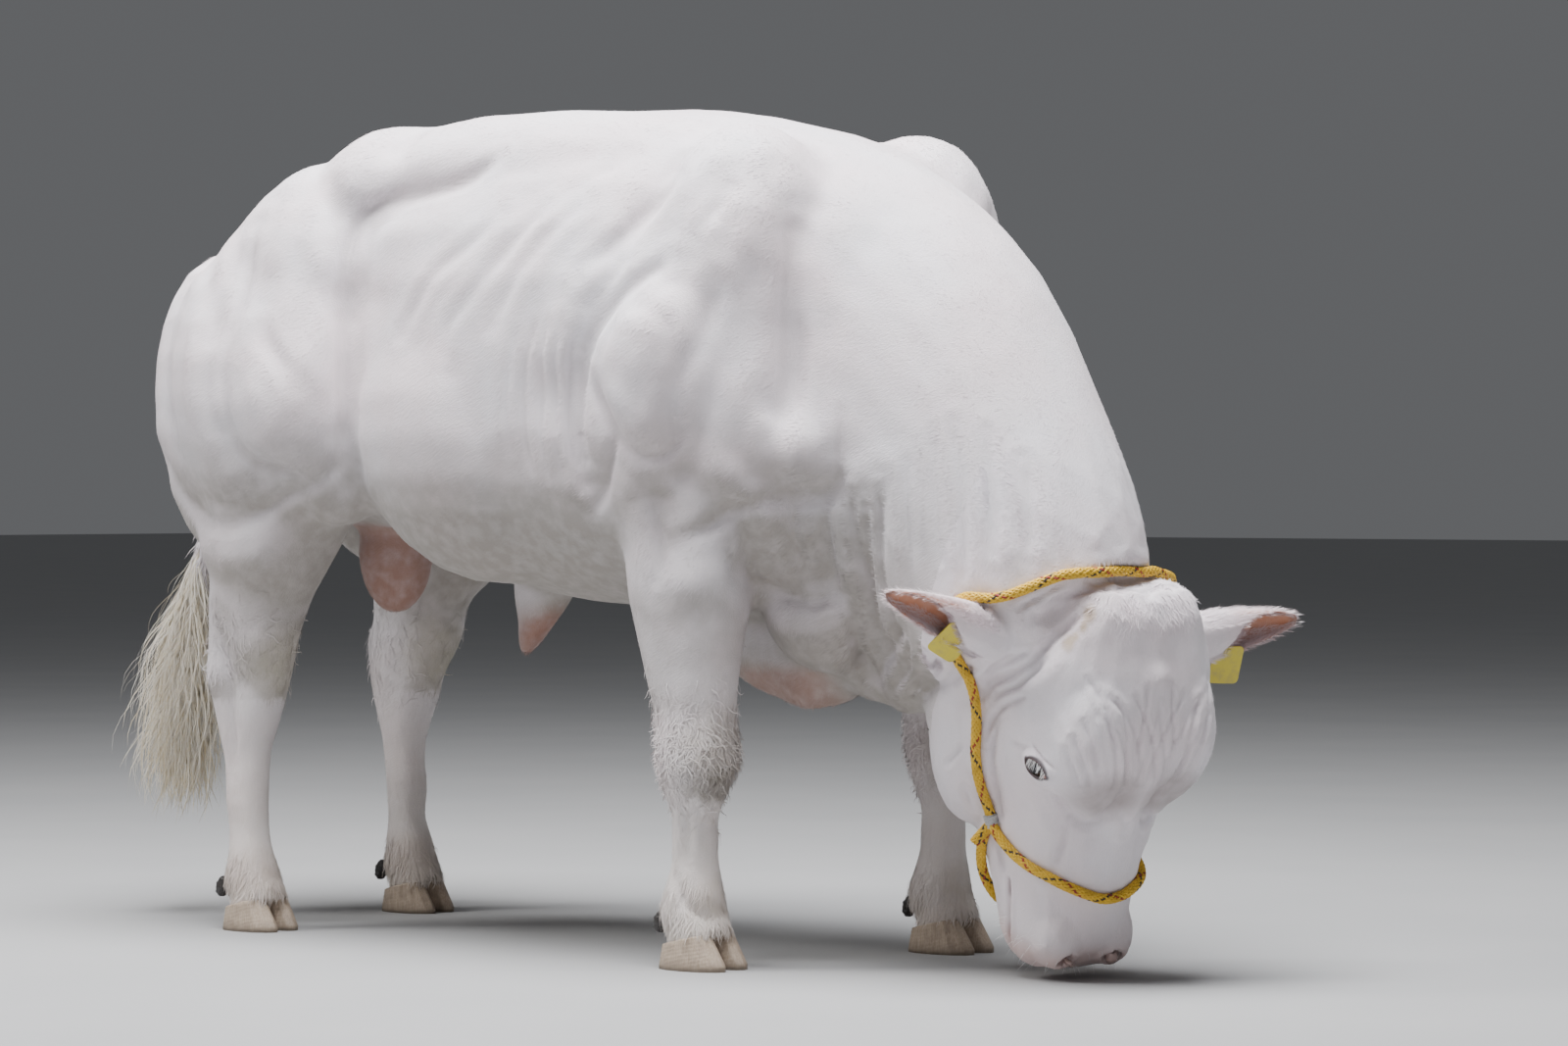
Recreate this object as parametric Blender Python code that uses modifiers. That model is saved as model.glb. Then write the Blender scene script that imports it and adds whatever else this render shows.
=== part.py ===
"""A Belgian Blue bull grazing, as a still, life-size model in closed solids.

Metres, +Z up, +X towards the head, +Y towards the animal's left. The body is built whole from lofts and
muscle masses, fused, and then parted with thin cuts into the named nodes. Heights are above the floor, and
lengths along X are from the right fore foot until the whole model is centred at the end.
"""

import bmesh
import bpy
import math
import numpy as np
import random
from mathutils import Matrix, Vector
from mathutils.bvhtree import BVHTree

# Gap between solids that touch
GAP = 0.0003
# Grain of the fused body and of the finer head, and the triangles that each is thinned to
BODY_VOXEL = 0.013
HEAD_VOXEL = 0.0065
BODY_TRIANGLES = 4300
HEAD_TRIANGLES = 2300
BODY_PASSES = 9
HEAD_PASSES = 18

# Where the feet stand: the right ones are x from the right fore foot, the left ones are apart from them
TRACK_FORE = 0.25
TRACK_HIND = 0.23
FORE_FOOT = {"right": 0.0, "left": 0.135}
HIND_FOOT = {"right": -1.085, "left": -1.135}
SIDES = {"right": -1.0, "left": 1.0}

# The head: where the poll is, and how the face turns, tucks and leans
POLL = Vector((0.785, -0.040, 0.602))
FACE_YAW = math.radians(-15.0)
FACE_TUCK = math.radians(16.0)
FACE_LEAN = math.radians(1.0)
HEAD_FRAME = (
    Matrix.Translation(POLL)
    @ Matrix.Rotation(FACE_YAW, 4, "Z")
    @ Matrix.Rotation(FACE_TUCK, 4, "Y")
    @ Matrix.Rotation(FACE_LEAN, 4, "X")
)

# Barrel: x, lowest z, highest z, half width
BARREL = (
    (-1.27, 0.98, 1.17, 0.10),
    (-1.21, 0.86, 1.25, 0.16),
    (-1.08, 0.74, 1.325, 0.23),
    (-0.86, 0.72, 1.405, 0.28),
    (-0.68, 0.665, 1.440, 0.335),
    (-0.45, 0.605, 1.462, 0.372),
    (-0.20, 0.590, 1.464, 0.380),
    (0.02, 0.590, 1.430, 0.355),
    (0.18, 0.600, 1.380, 0.295),
    (0.30, 0.660, 1.320, 0.220),
)

# Neck: crest x and z, throat x and z, y, half width
NECK = (
    (-0.06, 1.410, -0.02, 0.66, 0.0, 0.27),
    (0.17, 1.385, 0.10, 0.60, 0.0, 0.270),
    (0.36, 1.290, 0.20, 0.57, -0.004, 0.240),
    (0.50, 1.160, 0.26, 0.53, -0.012, 0.220),
    (0.62, 0.970, 0.31, 0.50, -0.024, 0.200),
    (0.710, 0.800, 0.37, 0.46, -0.036, 0.180),
    (0.745, 0.690, 0.47, 0.43, -0.044, 0.150),
)

# Dewlap and brisket: upper x and z, lower x and z, y, half width
DEWLAP = (
    (-0.22, 0.66, -0.20, 0.575, 0.0, 0.05),
    (-0.10, 0.70, -0.12, 0.475, 0.0, 0.075),
    (0.04, 0.72, 0.02, 0.430, 0.0, 0.080),
    (0.16, 0.72, 0.12, 0.455, 0.0, 0.075),
    (0.26, 0.70, 0.22, 0.435, -0.01, 0.070),
    (0.40, 0.62, 0.33, 0.430, -0.03, 0.080),
)

# Muscle masses of one side: x, y from the middle, z, the three half lengths, lean forward in degrees
HIND_MASSES = (
    ("hip", -0.76, 0.165, 1.333, 0.16, 0.150, 0.120, 0),
    ("rump", -0.90, 0.185, 1.180, 0.25, 0.185, 0.205, 0),
    ("rump_cap", -1.06, 0.165, 1.090, 0.18, 0.155, 0.185, 0),
    ("outer_thigh", -1.00, 0.235, 1.000, 0.26, 0.170, 0.300, 0),
    ("front_thigh", -0.86, 0.250, 1.020, 0.145, 0.140, 0.290, -6),
    ("thigh_bulge", -0.90, 0.285, 0.950, 0.150, 0.118, 0.170, 0),
    ("buttock", -1.185, 0.190, 0.950, 0.140, 0.155, 0.292, -5),
    ("gaskin", -1.045, 0.245, 0.730, 0.145, 0.105, 0.150, -14),
)
FORE_MASSES = (
    ("blade", 0.02, 0.190, 1.150, 0.190, 0.155, 0.275, 20),
    ("fore_blade", 0.125, 0.152, 1.050, 0.140, 0.136, 0.245, 20),
    ("triceps", -0.015, 0.245, 0.980, 0.155, 0.148, 0.235, 8),
    ("upper_arm", 0.085, 0.212, 0.900, 0.150, 0.125, 0.260, 8),
    ("shoulder_point", 0.210, 0.222, 0.868, 0.052, 0.056, 0.082, 0),
    ("elbow", -0.045, 0.255, 0.740, 0.095, 0.085, 0.095, 0),
    ("brisket", 0.150, 0.085, 0.610, 0.130, 0.100, 0.120, 0),
)
BACK_MASSES = (
    ("loin", -0.45, 0.145, 1.346, 0.55, 0.152, 0.118, 0),
    ("flank", -0.50, 0.180, 0.930, 0.34, 0.200, 0.300, 0),
)

# Furrows between the muscles of one side: depth, breadth, then points in x and z. All are eased by one share
FURROW_SHARE = 0.62
FURROWS = {
    "front of thigh": (0.015, 0.024, (-0.80, 1.31), (-0.765, 1.22), (-0.75, 1.06), (-0.755, 0.92), (-0.77, 0.80)),
    "behind thigh bulge": (0.013, 0.030, (-1.01, 1.20), (-1.03, 1.05), (-1.02, 0.95), (-0.97, 0.86), (-0.90, 0.82)),
    "under thigh": (0.014, 0.026, (-1.26, 0.86), (-1.13, 0.745), (-1.04, 0.76), (-0.93, 0.82), (-0.84, 0.86)),
    "rump notch": (0.014, 0.034, (-1.22, 1.27), (-1.10, 1.21), (-1.03, 1.10)),
    "back of triceps": (0.022, 0.026, (-0.03, 1.34), (-0.09, 1.17), (-0.165, 1.02), (-0.18, 0.92), (-0.15, 0.80)),
    "front of blade": (0.016, 0.028, (0.21, 1.27), (0.235, 1.16), (0.235, 1.04), (0.205, 0.945)),
    "top of blade": (0.009, 0.030, (0.02, 1.23), (0.08, 1.30), (0.21, 1.33)),
    "under shoulder point": (0.014, 0.022, (0.15, 0.87), (0.165, 0.82), (0.215, 0.79), (0.29, 0.81)),
    "under triceps": (0.013, 0.024, (-0.10, 0.96), (-0.07, 0.90), (-0.01, 0.865), (0.05, 0.90)),
    "front of arm": (0.014, 0.026, (0.04, 0.83), (0.10, 0.79), (0.13, 0.72), (0.13, 0.65)),
    "elbow": (0.012, 0.024, (-0.02, 0.80), (0.0, 0.73), (0.03, 0.69)),
    "rib fold one": (0.007, 0.035, (-0.30, 1.30), (-0.38, 1.10), (-0.40, 0.92)),
    "rib fold two": (0.007, 0.035, (-0.20, 1.24), (-0.27, 1.05), (-0.28, 0.88)),
}
# Broad swells: height, half length, half breadth, then x and z
SWELLS = {
    "thigh bulge": (0.012, 0.14, 0.16, -0.89, 0.97),
    "triceps": (0.014, 0.15, 0.20, -0.03, 1.02),
    "point of shoulder": (0.014, 0.050, 0.062, 0.215, 0.870),
    "blade": (0.010, 0.13, 0.16, 0.12, 1.14),
}

# Limbs: x and y from the foot, height, half length, half width
FORE_LIMB = (
    (-0.010, -0.030, 0.86, 0.130, 0.095),
    (-0.022, -0.015, 0.74, 0.125, 0.102),
    (-0.020, 0.000, 0.63, 0.113, 0.092),
    (-0.014, 0.000, 0.51, 0.090, 0.076),
    (-0.006, 0.000, 0.42, 0.074, 0.068),
    (0.000, 0.000, 0.355, 0.073, 0.073),
    (-0.002, 0.000, 0.310, 0.061, 0.062),
    (-0.006, 0.000, 0.255, 0.041, 0.042),
    (-0.006, 0.000, 0.185, 0.040, 0.042),
    (-0.008, 0.000, 0.135, 0.049, 0.052),
    (-0.012, 0.000, 0.100, 0.058, 0.058),
    (0.004, 0.000, 0.070, 0.056, 0.057),
    (0.014, 0.000, 0.045, 0.059, 0.058),
    (0.016, 0.000, 0.020, 0.059, 0.058),
)
HIND_LIMB = (
    (0.100, -0.010, 0.86, 0.190, 0.115),
    (0.060, 0.000, 0.73, 0.150, 0.105),
    (0.025, 0.005, 0.62, 0.112, 0.084),
    (0.003, 0.005, 0.54, 0.098, 0.068),
    (-0.014, 0.000, 0.465, 0.092, 0.060),
    (-0.018, 0.000, 0.400, 0.072, 0.056),
    (-0.022, 0.000, 0.325, 0.050, 0.044),
    (-0.022, 0.000, 0.250, 0.043, 0.038),
    (-0.018, 0.000, 0.180, 0.042, 0.038),
    (-0.012, 0.000, 0.135, 0.048, 0.044),
    (-0.008, 0.000, 0.100, 0.055, 0.051),
    (0.006, 0.000, 0.070, 0.054, 0.052),
    (0.016, 0.000, 0.045, 0.057, 0.054),
    (0.018, 0.000, 0.020, 0.057, 0.054),
)
HOCK_POINT = (-0.092, 0.0, 0.500)

# Head in its own frame: distance below the poll, half width, brow side, jaw side, narrowing to the jaw
HEAD = (
    (-0.030, 0.080, -0.020, -0.120, 0.0),
    (0.000, 0.120, 0.012, -0.200, 0.04),
    (0.060, 0.156, 0.038, -0.275, 0.06),
    (0.130, 0.170, 0.054, -0.325, 0.08),
    (0.200, 0.165, 0.062, -0.335, 0.10),
    (0.255, 0.155, 0.060, -0.340, 0.12),
    (0.300, 0.142, 0.044, -0.348, 0.11),
    (0.345, 0.130, 0.022, -0.348, 0.08),
    (0.410, 0.118, 0.010, -0.325, 0.04),
    (0.480, 0.106, 0.004, -0.262, 0.0),
    (0.540, 0.103, 0.000, -0.215, 0.0),
    (0.585, 0.099, -0.012, -0.188, 0.0),
    (0.614, 0.084, -0.032, -0.162, 0.0),
    (0.628, 0.052, -0.055, -0.128, 0.0),
)
# Masses of one side of the head: below the poll, out from the middle, towards the brow, half lengths alike
HEAD_MASSES = (
    ("horn_bud", 0.048, 0.064, -0.058, 0.086, 0.074, 0.076),
    ("ear_base", 0.085, 0.128, -0.130, 0.078, 0.064, 0.078),
    ("jaw", 0.262, 0.088, -0.276, 0.185, 0.080, 0.112),
    ("cheek", 0.225, 0.092, -0.205, 0.165, 0.078, 0.120),
    ("brow", 0.200, 0.078, -0.010, 0.125, 0.078, 0.074),
    ("lid", 0.268, 0.132, -0.036, 0.036, 0.026, 0.032),
    ("cheek_bone", 0.335, 0.078, -0.075, 0.100, 0.042, 0.060),
    ("nostril_wing", 0.565, 0.055, -0.040, 0.055, 0.044, 0.040),
    ("upper_lip", 0.590, 0.048, -0.085, 0.042, 0.050, 0.042),
    ("chin", 0.570, 0.030, -0.128, 0.050, 0.045, 0.034),
)

# The eye, in the head's own frame: below the poll, out, front; and its lids
EYE_RADIUS = 0.0200
EYE_PLACE = (0.265, 0.143, -0.042)
EYE_SLIT = (0.0255, 0.0135)
EYE_SLANT = math.radians(68.0)

# Ear: its root and tip in the head's frame, and the way that it opens, in the world
EAR_ROOT = (0.100, 0.125, -0.135)
EAR_TIP = {"right": (0.017, 0.383, -0.210), "left": (0.044, 0.377, -0.078)}
EAR_OPENS = {"right": Vector((0.55, -0.65, -0.53)), "left": Vector((0.60, -0.71, -0.37))}
# Along the ear: how far, half its width and half its depth
EAR_SECTIONS = (
    (0.00, 0.044, 0.038),
    (0.28, 0.046, 0.040),
    (0.45, 0.043, 0.037),
    (0.58, 0.039, 0.032),
    (0.70, 0.033, 0.025),
    (0.82, 0.027, 0.018),
    (0.93, 0.018, 0.012),
    (0.98, 0.011, 0.008),
    (1.00, 0.004, 0.004),
)
# Its cup: how far, then in parts of the section's own size the middle, the half height and the depth below the middle
EAR_CUP = (
    (0.43, -0.62, 0.08, -0.40),
    (0.50, -0.48, 0.32, 0.30),
    (0.60, -0.14, 0.62, 0.66),
    (0.72, 0.00, 0.74, 0.70),
    (0.86, 0.00, 0.76, 0.62),
    (0.97, 0.00, 0.60, 0.10),
)

# Mouth and nostrils, in the head's frame
NOSTRIL_PLACE = (0.590, 0.052, -0.018)
NOSTRIL_RADII = (0.020, 0.0085, 0.016)
MOUTH_ROUTE = ((0.505, 0.100, -0.122), (0.555, 0.102, -0.114), (0.600, 0.088, -0.108), (0.628, 0.046, -0.103))

# Claws: each is half of a foot, with a cleft between
CLAW_LENGTH = {"fore": 0.132, "hind": 0.124}
FOOT_WIDTH = {"fore": 0.122, "hind": 0.112}
CLEFT = 0.007
CORONET_FRONT = 0.066
CORONET_BACK = 0.036
CORONET_REACH = 0.065
CLAW_FORWARD = 0.014
# Levels of a claw's wall, from sole to coronet: share of its height, its size, and how far the toe leans back
CLAW_LEVELS = ((0.0, 1.0, 0.0), (0.12, 1.02, 0.0), (1.0, 0.90, 0.030))
TOE_NARROWS = 0.22
TOE_TURNS_IN = 0.006
DEWCLAW_PLACE = (-0.056, 0.030, 0.078)
DEWCLAW_RADII = (0.016, 0.013, 0.022)
DEWCLAW_LEAN = 0.45

# Tail bone and its switch of long hair
TAIL_ROUTE = (
    (-1.170, 0.0, 1.285, 0.042),
    (-1.265, 0.0, 1.265, 0.038),
    (-1.345, -0.005, 1.160, 0.031),
    (-1.372, -0.015, 1.000, 0.027),
    (-1.385, -0.035, 0.840, 0.023),
    (-1.402, -0.055, 0.690, 0.019),
    (-1.412, -0.066, 0.610, 0.016),
)
SWITCH_TOP = Vector((-1.410, -0.064, 0.660))
SWITCH_BOTTOM = Vector((-1.445, -0.085, 0.235))
SWITCH_LOCKS = 22
LOCK_WIDTH = (0.026, 0.040)
LOCK_SWAY = (0.008, 0.020)
LOCK_THICKNESS = 0.010
LOCK_STEPS = 5

# Scrotum: centre and half lengths. Sheath: x, z, half length and half width, down to its tip
SCROTUM = ((-0.955, 0.0, 0.690), (0.075, 0.068, 0.118))
SHEATH = (
    (-0.580, 0.645, 0.075, 0.042),
    (-0.585, 0.605, 0.066, 0.038),
    (-0.597, 0.570, 0.046, 0.031),
    (-0.612, 0.538, 0.030, 0.024),
    (-0.624, 0.514, 0.019, 0.017),
    (-0.628, 0.506, 0.008, 0.008),
)

# Halter rope, and its routes over the head in the head's frame
ROPE_RADIUS = 0.0075
ROPE_STEP = 0.034
ROPE_ROOM = 1.2 * GAP
ROPE_SINK = 0.0006
ROPE_PASSES = 8
JUNCTION = (0.405, 0.118, -0.172)
CHEEK_ROUTE = ((0.335, 0.145, -0.188), (0.275, 0.165, -0.186), (0.221, 0.180, -0.182), (0.150, 0.205, -0.176))
# Over the poll the strap has slipped back on the left
POLL_ROUTE = {
    "right": (
        (0.100, 0.200, -0.225),
        (0.045, 0.195, -0.205),
        (-0.020, 0.170, -0.100),
        (-0.053, 0.123, -0.070),
        (-0.065, 0.058, -0.062),
    ),
    "left": (
        (0.100, 0.200, -0.225),
        (0.045, 0.195, -0.210),
        (-0.010, 0.160, -0.150),
        (-0.026, 0.115, -0.118),
        (-0.040, 0.060, -0.092),
    ),
}
NOSE_ROUTE = ((0.441, 0.094, -0.111), (0.452, 0.084, -0.033), (0.474, 0.040, 0.002), (0.492, 0.000, 0.004))
CHIN_ROUTE = ((0.480, 0.100, -0.225), (0.540, 0.072, -0.220), (0.575, 0.035, -0.205), (0.580, 0.000, -0.200))
CLAMP_RADII = (0.014, 0.014, 0.019)
# The rope's cut end hangs from the right clamp: below, out, front of it
ROPE_END = (0.040, 0.020, -0.014)

# Ear tags: plate width, height and thickness, and the stud that holds each in the ear
TAG_SIZE = (0.056, 0.066, 0.0024)
TAG_STUD = (0.0045, 0.042)
STUD_RISE = 0.40
STUD_HEAD = 0.003
# Where the plate's middle is: along the ear, up and out of its section; and its lean from the ear's own line
TAG_PLACE = {"right": (0.49, -0.031, 0.016), "left": (0.465, -0.050, 0.020)}
TAG_LEAN = {"right": math.radians(11.0), "left": math.radians(-12.0)}


def clear_scene():
    for thing in list(bpy.data.objects):
        bpy.data.objects.remove(thing, do_unlink=True)


clear_scene()
model = bpy.data.collections.new("grazing_bull")
cutters = bpy.data.collections.new("cutters")
bpy.context.scene.collection.children.link(model)
bpy.context.scene.collection.children.link(cutters)


def material(name, colour, roughness, metallic=0.0):
    made = bpy.data.materials.new(name)
    made.use_nodes = True
    shader = made.node_tree.nodes["Principled BSDF"]
    shader.inputs["Base Color"].default_value = (*colour, 1.0)
    shader.inputs["Roughness"].default_value = roughness
    shader.inputs["Metallic"].default_value = metallic
    made.diffuse_color = (*colour, 1.0)
    return made


COAT = material("white_coat", (0.78, 0.74, 0.76), 0.75)
SKIN = material("pink_skin", (0.55, 0.36, 0.32), 0.6)
HORN = material("pale_horn", (0.45, 0.33, 0.24), 0.5)
DARK_HORN = material("dark_horn", (0.02, 0.018, 0.018), 0.4)
EYE = material("eye", (0.03, 0.03, 0.035), 0.1)
HAIR = material("switch_hair", (0.80, 0.74, 0.58), 0.8)
ROPE = material("yellow_rope", (0.75, 0.48, 0.03), 0.7)
STEEL = material("halter_clamp", (0.55, 0.55, 0.55), 0.35, 1.0)
TAG = material("ear_tag", (0.72, 0.62, 0.05), 0.45)


def put(name, mesh_bm, look, home=model):
    """A named object from a bmesh, with its faces turned outwards."""
    bmesh.ops.recalc_face_normals(mesh_bm, faces=mesh_bm.faces)
    mesh = bpy.data.meshes.new(name)
    mesh_bm.to_mesh(mesh)
    mesh_bm.free()
    mesh.materials.append(look)
    thing = bpy.data.objects.new(name, mesh)
    home.objects.link(thing)
    if home is cutters:
        thing.hide_render = True
        thing.display_type = "WIRE"
    return thing


def settle(thing):
    """Applies an object's modifiers by taking its evaluated mesh."""
    graph = bpy.context.evaluated_depsgraph_get()
    done = bpy.data.meshes.new_from_object(thing.evaluated_get(graph), depsgraph=graph)
    thing.modifiers.clear()
    old = thing.data
    thing.data = done
    bpy.data.meshes.remove(old)


def discard(things):
    for thing in list(things):
        bpy.data.objects.remove(thing, do_unlink=True)


def spread(stations, steps=4):
    """Stations along a smooth curve through the given ones, so that a loft has no kinks."""
    smooth = []
    last = len(stations) - 1
    for k in range(last):
        near = [stations[min(max(i, 0), last)] for i in (k - 1, k, k + 1, k + 2)]
        for step in range(steps):
            t = step / steps
            smooth.append(tuple(curve_value(*values, t) for values in zip(*near)))
    smooth.append(tuple(stations[-1]))
    return smooth


def curve_value(before, start, end, after, t):
    """A Catmull-Rom curve between start and end."""
    return 0.5 * (
        2.0 * start
        + (end - before) * t
        + (2.0 * before - 5.0 * start + 4.0 * end - after) * t * t
        + (3.0 * start - before - 3.0 * end + after) * t ** 3
    )


def ring(centre, across, up, power=2.3, taper=0.0, sides=28):
    """Points of one section: a rounded oval whose half axes are the vectors across and up."""
    points = []
    for k in range(sides):
        turn = 2.0 * math.pi * k / sides
        c, s = math.cos(turn), math.sin(turn)
        side = math.copysign(abs(c) ** (2.0 / power), c)
        rise = math.copysign(abs(s) ** (2.0 / power), s)
        points.append(centre + across * side * (1.0 + taper * rise) + up * rise)
    return points


def loft(name, rings, look=COAT, home=model):
    """A closed solid through rings that have as many points each."""
    made = bmesh.new()
    rows = [[made.verts.new(point) for point in points] for points in rings]
    count = len(rows[0])
    for low, high in zip(rows, rows[1:]):
        for k in range(count):
            after = (k + 1) % count
            made.faces.new((low[k], low[after], high[after], high[k]))
    made.faces.new(rows[0][::-1])
    made.faces.new(rows[-1])
    return put(name, made, look, home)


def mass(name, centre, radii, turn=None, look=COAT, home=model, segments=20):
    """An ellipsoid, such as one muscle."""
    made = bmesh.new()
    bmesh.ops.create_uvsphere(made, u_segments=segments, v_segments=segments * 2 // 3, radius=1.0)
    place = Matrix.Translation(centre)
    if turn is not None:
        place = place @ turn
    place = place @ Matrix.Diagonal((*radii, 1.0))
    bmesh.ops.transform(made, matrix=place, verts=made.verts)
    return put(name, made, look, home)


def barrel():
    rings = []
    for x, low, high, half in spread(BARREL):
        centre = Vector((x, 0.0, (low + high) / 2.0))
        rings.append(ring(centre, Vector((0, half, 0)), Vector((0, 0, (high - low) / 2.0)), 2.5))
    return loft("barrel", rings)


def keel(name, sections, power):
    """A loft along the neck, whose sections run from an upper to a lower point."""
    rings = []
    for top_x, top_z, low_x, low_z, y, half in spread(sections):
        top = Vector((top_x, y, top_z))
        low = Vector((low_x, y, low_z))
        rings.append(ring((top + low) / 2.0, Vector((0, half, 0)), (top - low) / 2.0, power))
    return loft(name, rings)


def limb(name, stations, foot_x, foot_y, side):
    rings = []
    for x, y, z, half_x, half_y in spread(stations, 3):
        centre = Vector((foot_x + x, side * (foot_y + y), z))
        rings.append(ring(centre, Vector((half_x, 0, 0)), Vector((0, half_y, 0)), 2.2, sides=20))
    return loft(name, rings)


def muscles(masses, side_name, shift):
    side = SIDES[side_name]
    made = []
    for label, x, y, z, rx, ry, rz, lean in masses:
        turn = Matrix.Rotation(math.radians(lean), 4, "Y")
        place = Vector((x + shift, side * y, z))
        made.append(mass(f"{label}_{side_name}", place, (rx, ry, rz), turn))
    return made


def body_masses():
    """Everything that the trunk, neck and legs are fused from."""
    pieces = [barrel(), keel("neck_core", NECK, 2.1), keel("dewlap", DEWLAP, 2.0)]
    for side_name, side in SIDES.items():
        fore = FORE_FOOT[side_name]
        hind = HIND_FOOT[side_name]
        pieces += muscles(BACK_MASSES, side_name, 0.0)
        pieces += muscles(FORE_MASSES, side_name, fore * 0.35)
        pieces += muscles(HIND_MASSES, side_name, (hind - HIND_FOOT["right"]) * 0.5)
        pieces.append(limb(f"fore_limb_{side_name}", FORE_LIMB, fore, TRACK_FORE, side))
        pieces.append(limb(f"hind_limb_{side_name}", HIND_LIMB, hind, TRACK_HIND, side))
        x, y, z = HOCK_POINT
        place = Vector((hind + x, side * (TRACK_HIND + y), z))
        pieces.append(mass(f"hock_{side_name}", place, (0.030, 0.026, 0.060)))
    return pieces


def in_head(below, out, front):
    """A point of the head's own frame, in the world."""
    return HEAD_FRAME @ Vector((front, out, -below))


def head_masses():
    turn = HEAD_FRAME.to_3x3()
    out = turn @ Vector((0, 1, 0))
    front = turn @ Vector((1, 0, 0))
    rings = []
    for below, half, brow, jaw, taper in spread(HEAD, 3):
        centre = in_head(below, 0.0, (brow + jaw) / 2.0)
        rings.append(ring(centre, out * half, front * (brow - jaw) / 2.0, 2.5, taper))
    pieces = [loft("head_core", rings)]
    for side_name, side in SIDES.items():
        for label, below, aside, ahead, r_below, r_out, r_front in HEAD_MASSES:
            place = in_head(below, side * aside, ahead)
            pieces.append(mass(f"{label}_{side_name}", place, (r_front, r_out, r_below), turn.to_4x4()))
    return pieces


def join(name, pieces):
    """Joins objects into one, still as separate shells."""
    made = bmesh.new()
    for piece in pieces:
        made.from_mesh(piece.data)
    return put(name, made, COAT)


def model_muscles(thing):
    """Presses the furrows into both sides of the body and raises the swells."""
    mesh = thing.data
    count = len(mesh.vertices)
    places = np.empty(count * 3)
    normals = np.empty(count * 3)
    mesh.vertices.foreach_get("co", places)
    mesh.vertex_normals.foreach_get("vector", normals)
    places = places.reshape(-1, 3)
    normals = normals.reshape(-1, 3)
    push = np.zeros(count)
    for side_name, side in SIDES.items():
        faces_out = np.clip((side * normals[:, 1] - 0.15) / 0.35, 0.0, 1.0) * (side * places[:, 1] > 0.05)
        flat = places[:, (0, 2)].copy()
        fore = np.clip((flat[:, 0] + 0.45) / 0.35, 0.0, 1.0)
        if side_name == "left":
            flat[:, 0] -= fore * FORE_FOOT["left"] * 0.35
        for depth, breadth, *path in FURROWS.values():
            push -= FURROW_SHARE * faces_out * depth * np.exp(-((distance_to_path(flat, path) / breadth) ** 2))
        for height, length, breadth, x, z in SWELLS.values():
            reach = ((flat[:, 0] - x) / length) ** 2 + ((flat[:, 1] - z) / breadth) ** 2
            push += faces_out * height * np.exp(-reach)
    places += normals * push[:, None]
    mesh.vertices.foreach_set("co", places.ravel())
    mesh.update()


def distance_to_path(points, path):
    """Distance of flat points to the nearest piece of a path."""
    nearest = np.full(len(points), 9.0)
    for start, end in zip(path, path[1:]):
        start = np.array(start)
        along = np.array(end) - start
        t = np.clip(((points - start) @ along) / (along @ along), 0.0, 1.0)
        gap = np.linalg.norm(points - start - t[:, None] * along, axis=1)
        nearest = np.minimum(nearest, gap)
    return nearest


def fuse(thing, voxel, passes, triangles, finish=None):
    """One skin over all the shells: remeshed, smoothed, modelled further and thinned."""
    skin = thing.modifiers.new("skin", "REMESH")
    skin.mode = "VOXEL"
    skin.voxel_size = voxel
    soft = thing.modifiers.new("soft", "SMOOTH")
    soft.factor = 0.5
    soft.iterations = passes
    settle(thing)
    if finish is not None:
        finish(thing)
    thing.data.calc_loop_triangles()
    thin = thing.modifiers.new("thin", "DECIMATE")
    thin.ratio = min(1.0, triangles / len(thing.data.loop_triangles))
    settle(thing)
    keep_largest(thing)


def keep_largest(thing):
    """Drops every loose scrap and sealed hollow, so that one closed surface is left."""
    made = bmesh.new()
    made.from_mesh(thing.data)
    made.verts.ensure_lookup_table()
    unseen = set(made.verts)
    best = []
    while unseen:
        start = unseen.pop()
        island = [start]
        front = [start]
        while front:
            vert = front.pop()
            for edge in vert.link_edges:
                other = edge.other_vert(vert)
                if other in unseen:
                    unseen.discard(other)
                    island.append(other)
                    front.append(other)
        if len(island) > len(best):
            best = island
    kept = set(best)
    bmesh.ops.delete(made, geom=[v for v in made.verts if v not in kept], context="VERTS")
    made.to_mesh(thing.data)
    made.free()


def grow_outline(outline, distance):
    """Moves each edge of a flat outline, given anticlockwise, outwards by a distance."""
    grown = []
    count = len(outline)
    for k in range(count):
        before, here, after = (Vector(outline[i % count]) for i in (k - 1, k, k + 1))
        into = (here - before).normalized()
        away = (after - here).normalized()
        normal_in = Vector((into.y, -into.x))
        normal_out = Vector((away.y, -away.x))
        middle = (normal_in + normal_out).normalized()
        grown.append(here + middle * distance / max(0.2, middle.dot(normal_in)))
    return grown


def prism(name, outline, y_low, y_high, grow=0.0):
    """A cutter whose outline is in X and Z and which runs from y_low to y_high."""
    points = grow_outline(outline, grow)
    rings = [[Vector((p[0], y, p[1])) for p in points] for y in (y_low - grow, y_high + grow)]
    return loft(name, rings, COAT, cutters)


def boolean(thing, cutter_list, operation, solver="EXACT"):
    for cutter in cutter_list:
        cut = thing.modifiers.new(cutter.name, "BOOLEAN")
        cut.operation = operation
        cut.object = cutter
        cut.solver = solver
    settle(thing)
    keep_largest(thing)


def copy_of(thing, name):
    made = bpy.data.objects.new(name, thing.data.copy())
    model.objects.link(made)
    return made


def grown_copy(thing, distance):
    """A cutter a little larger than a solid, pushed out along its normals."""
    made = bmesh.new()
    made.from_mesh(thing.data)
    bmesh.ops.recalc_face_normals(made, faces=made.faces)
    made.normal_update()
    moves = [(v, v.co + v.normal * distance) for v in made.verts]
    for vert, place in moves:
        vert.co = place
    return put(f"{thing.name}_room", made, COAT, cutters)


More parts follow.
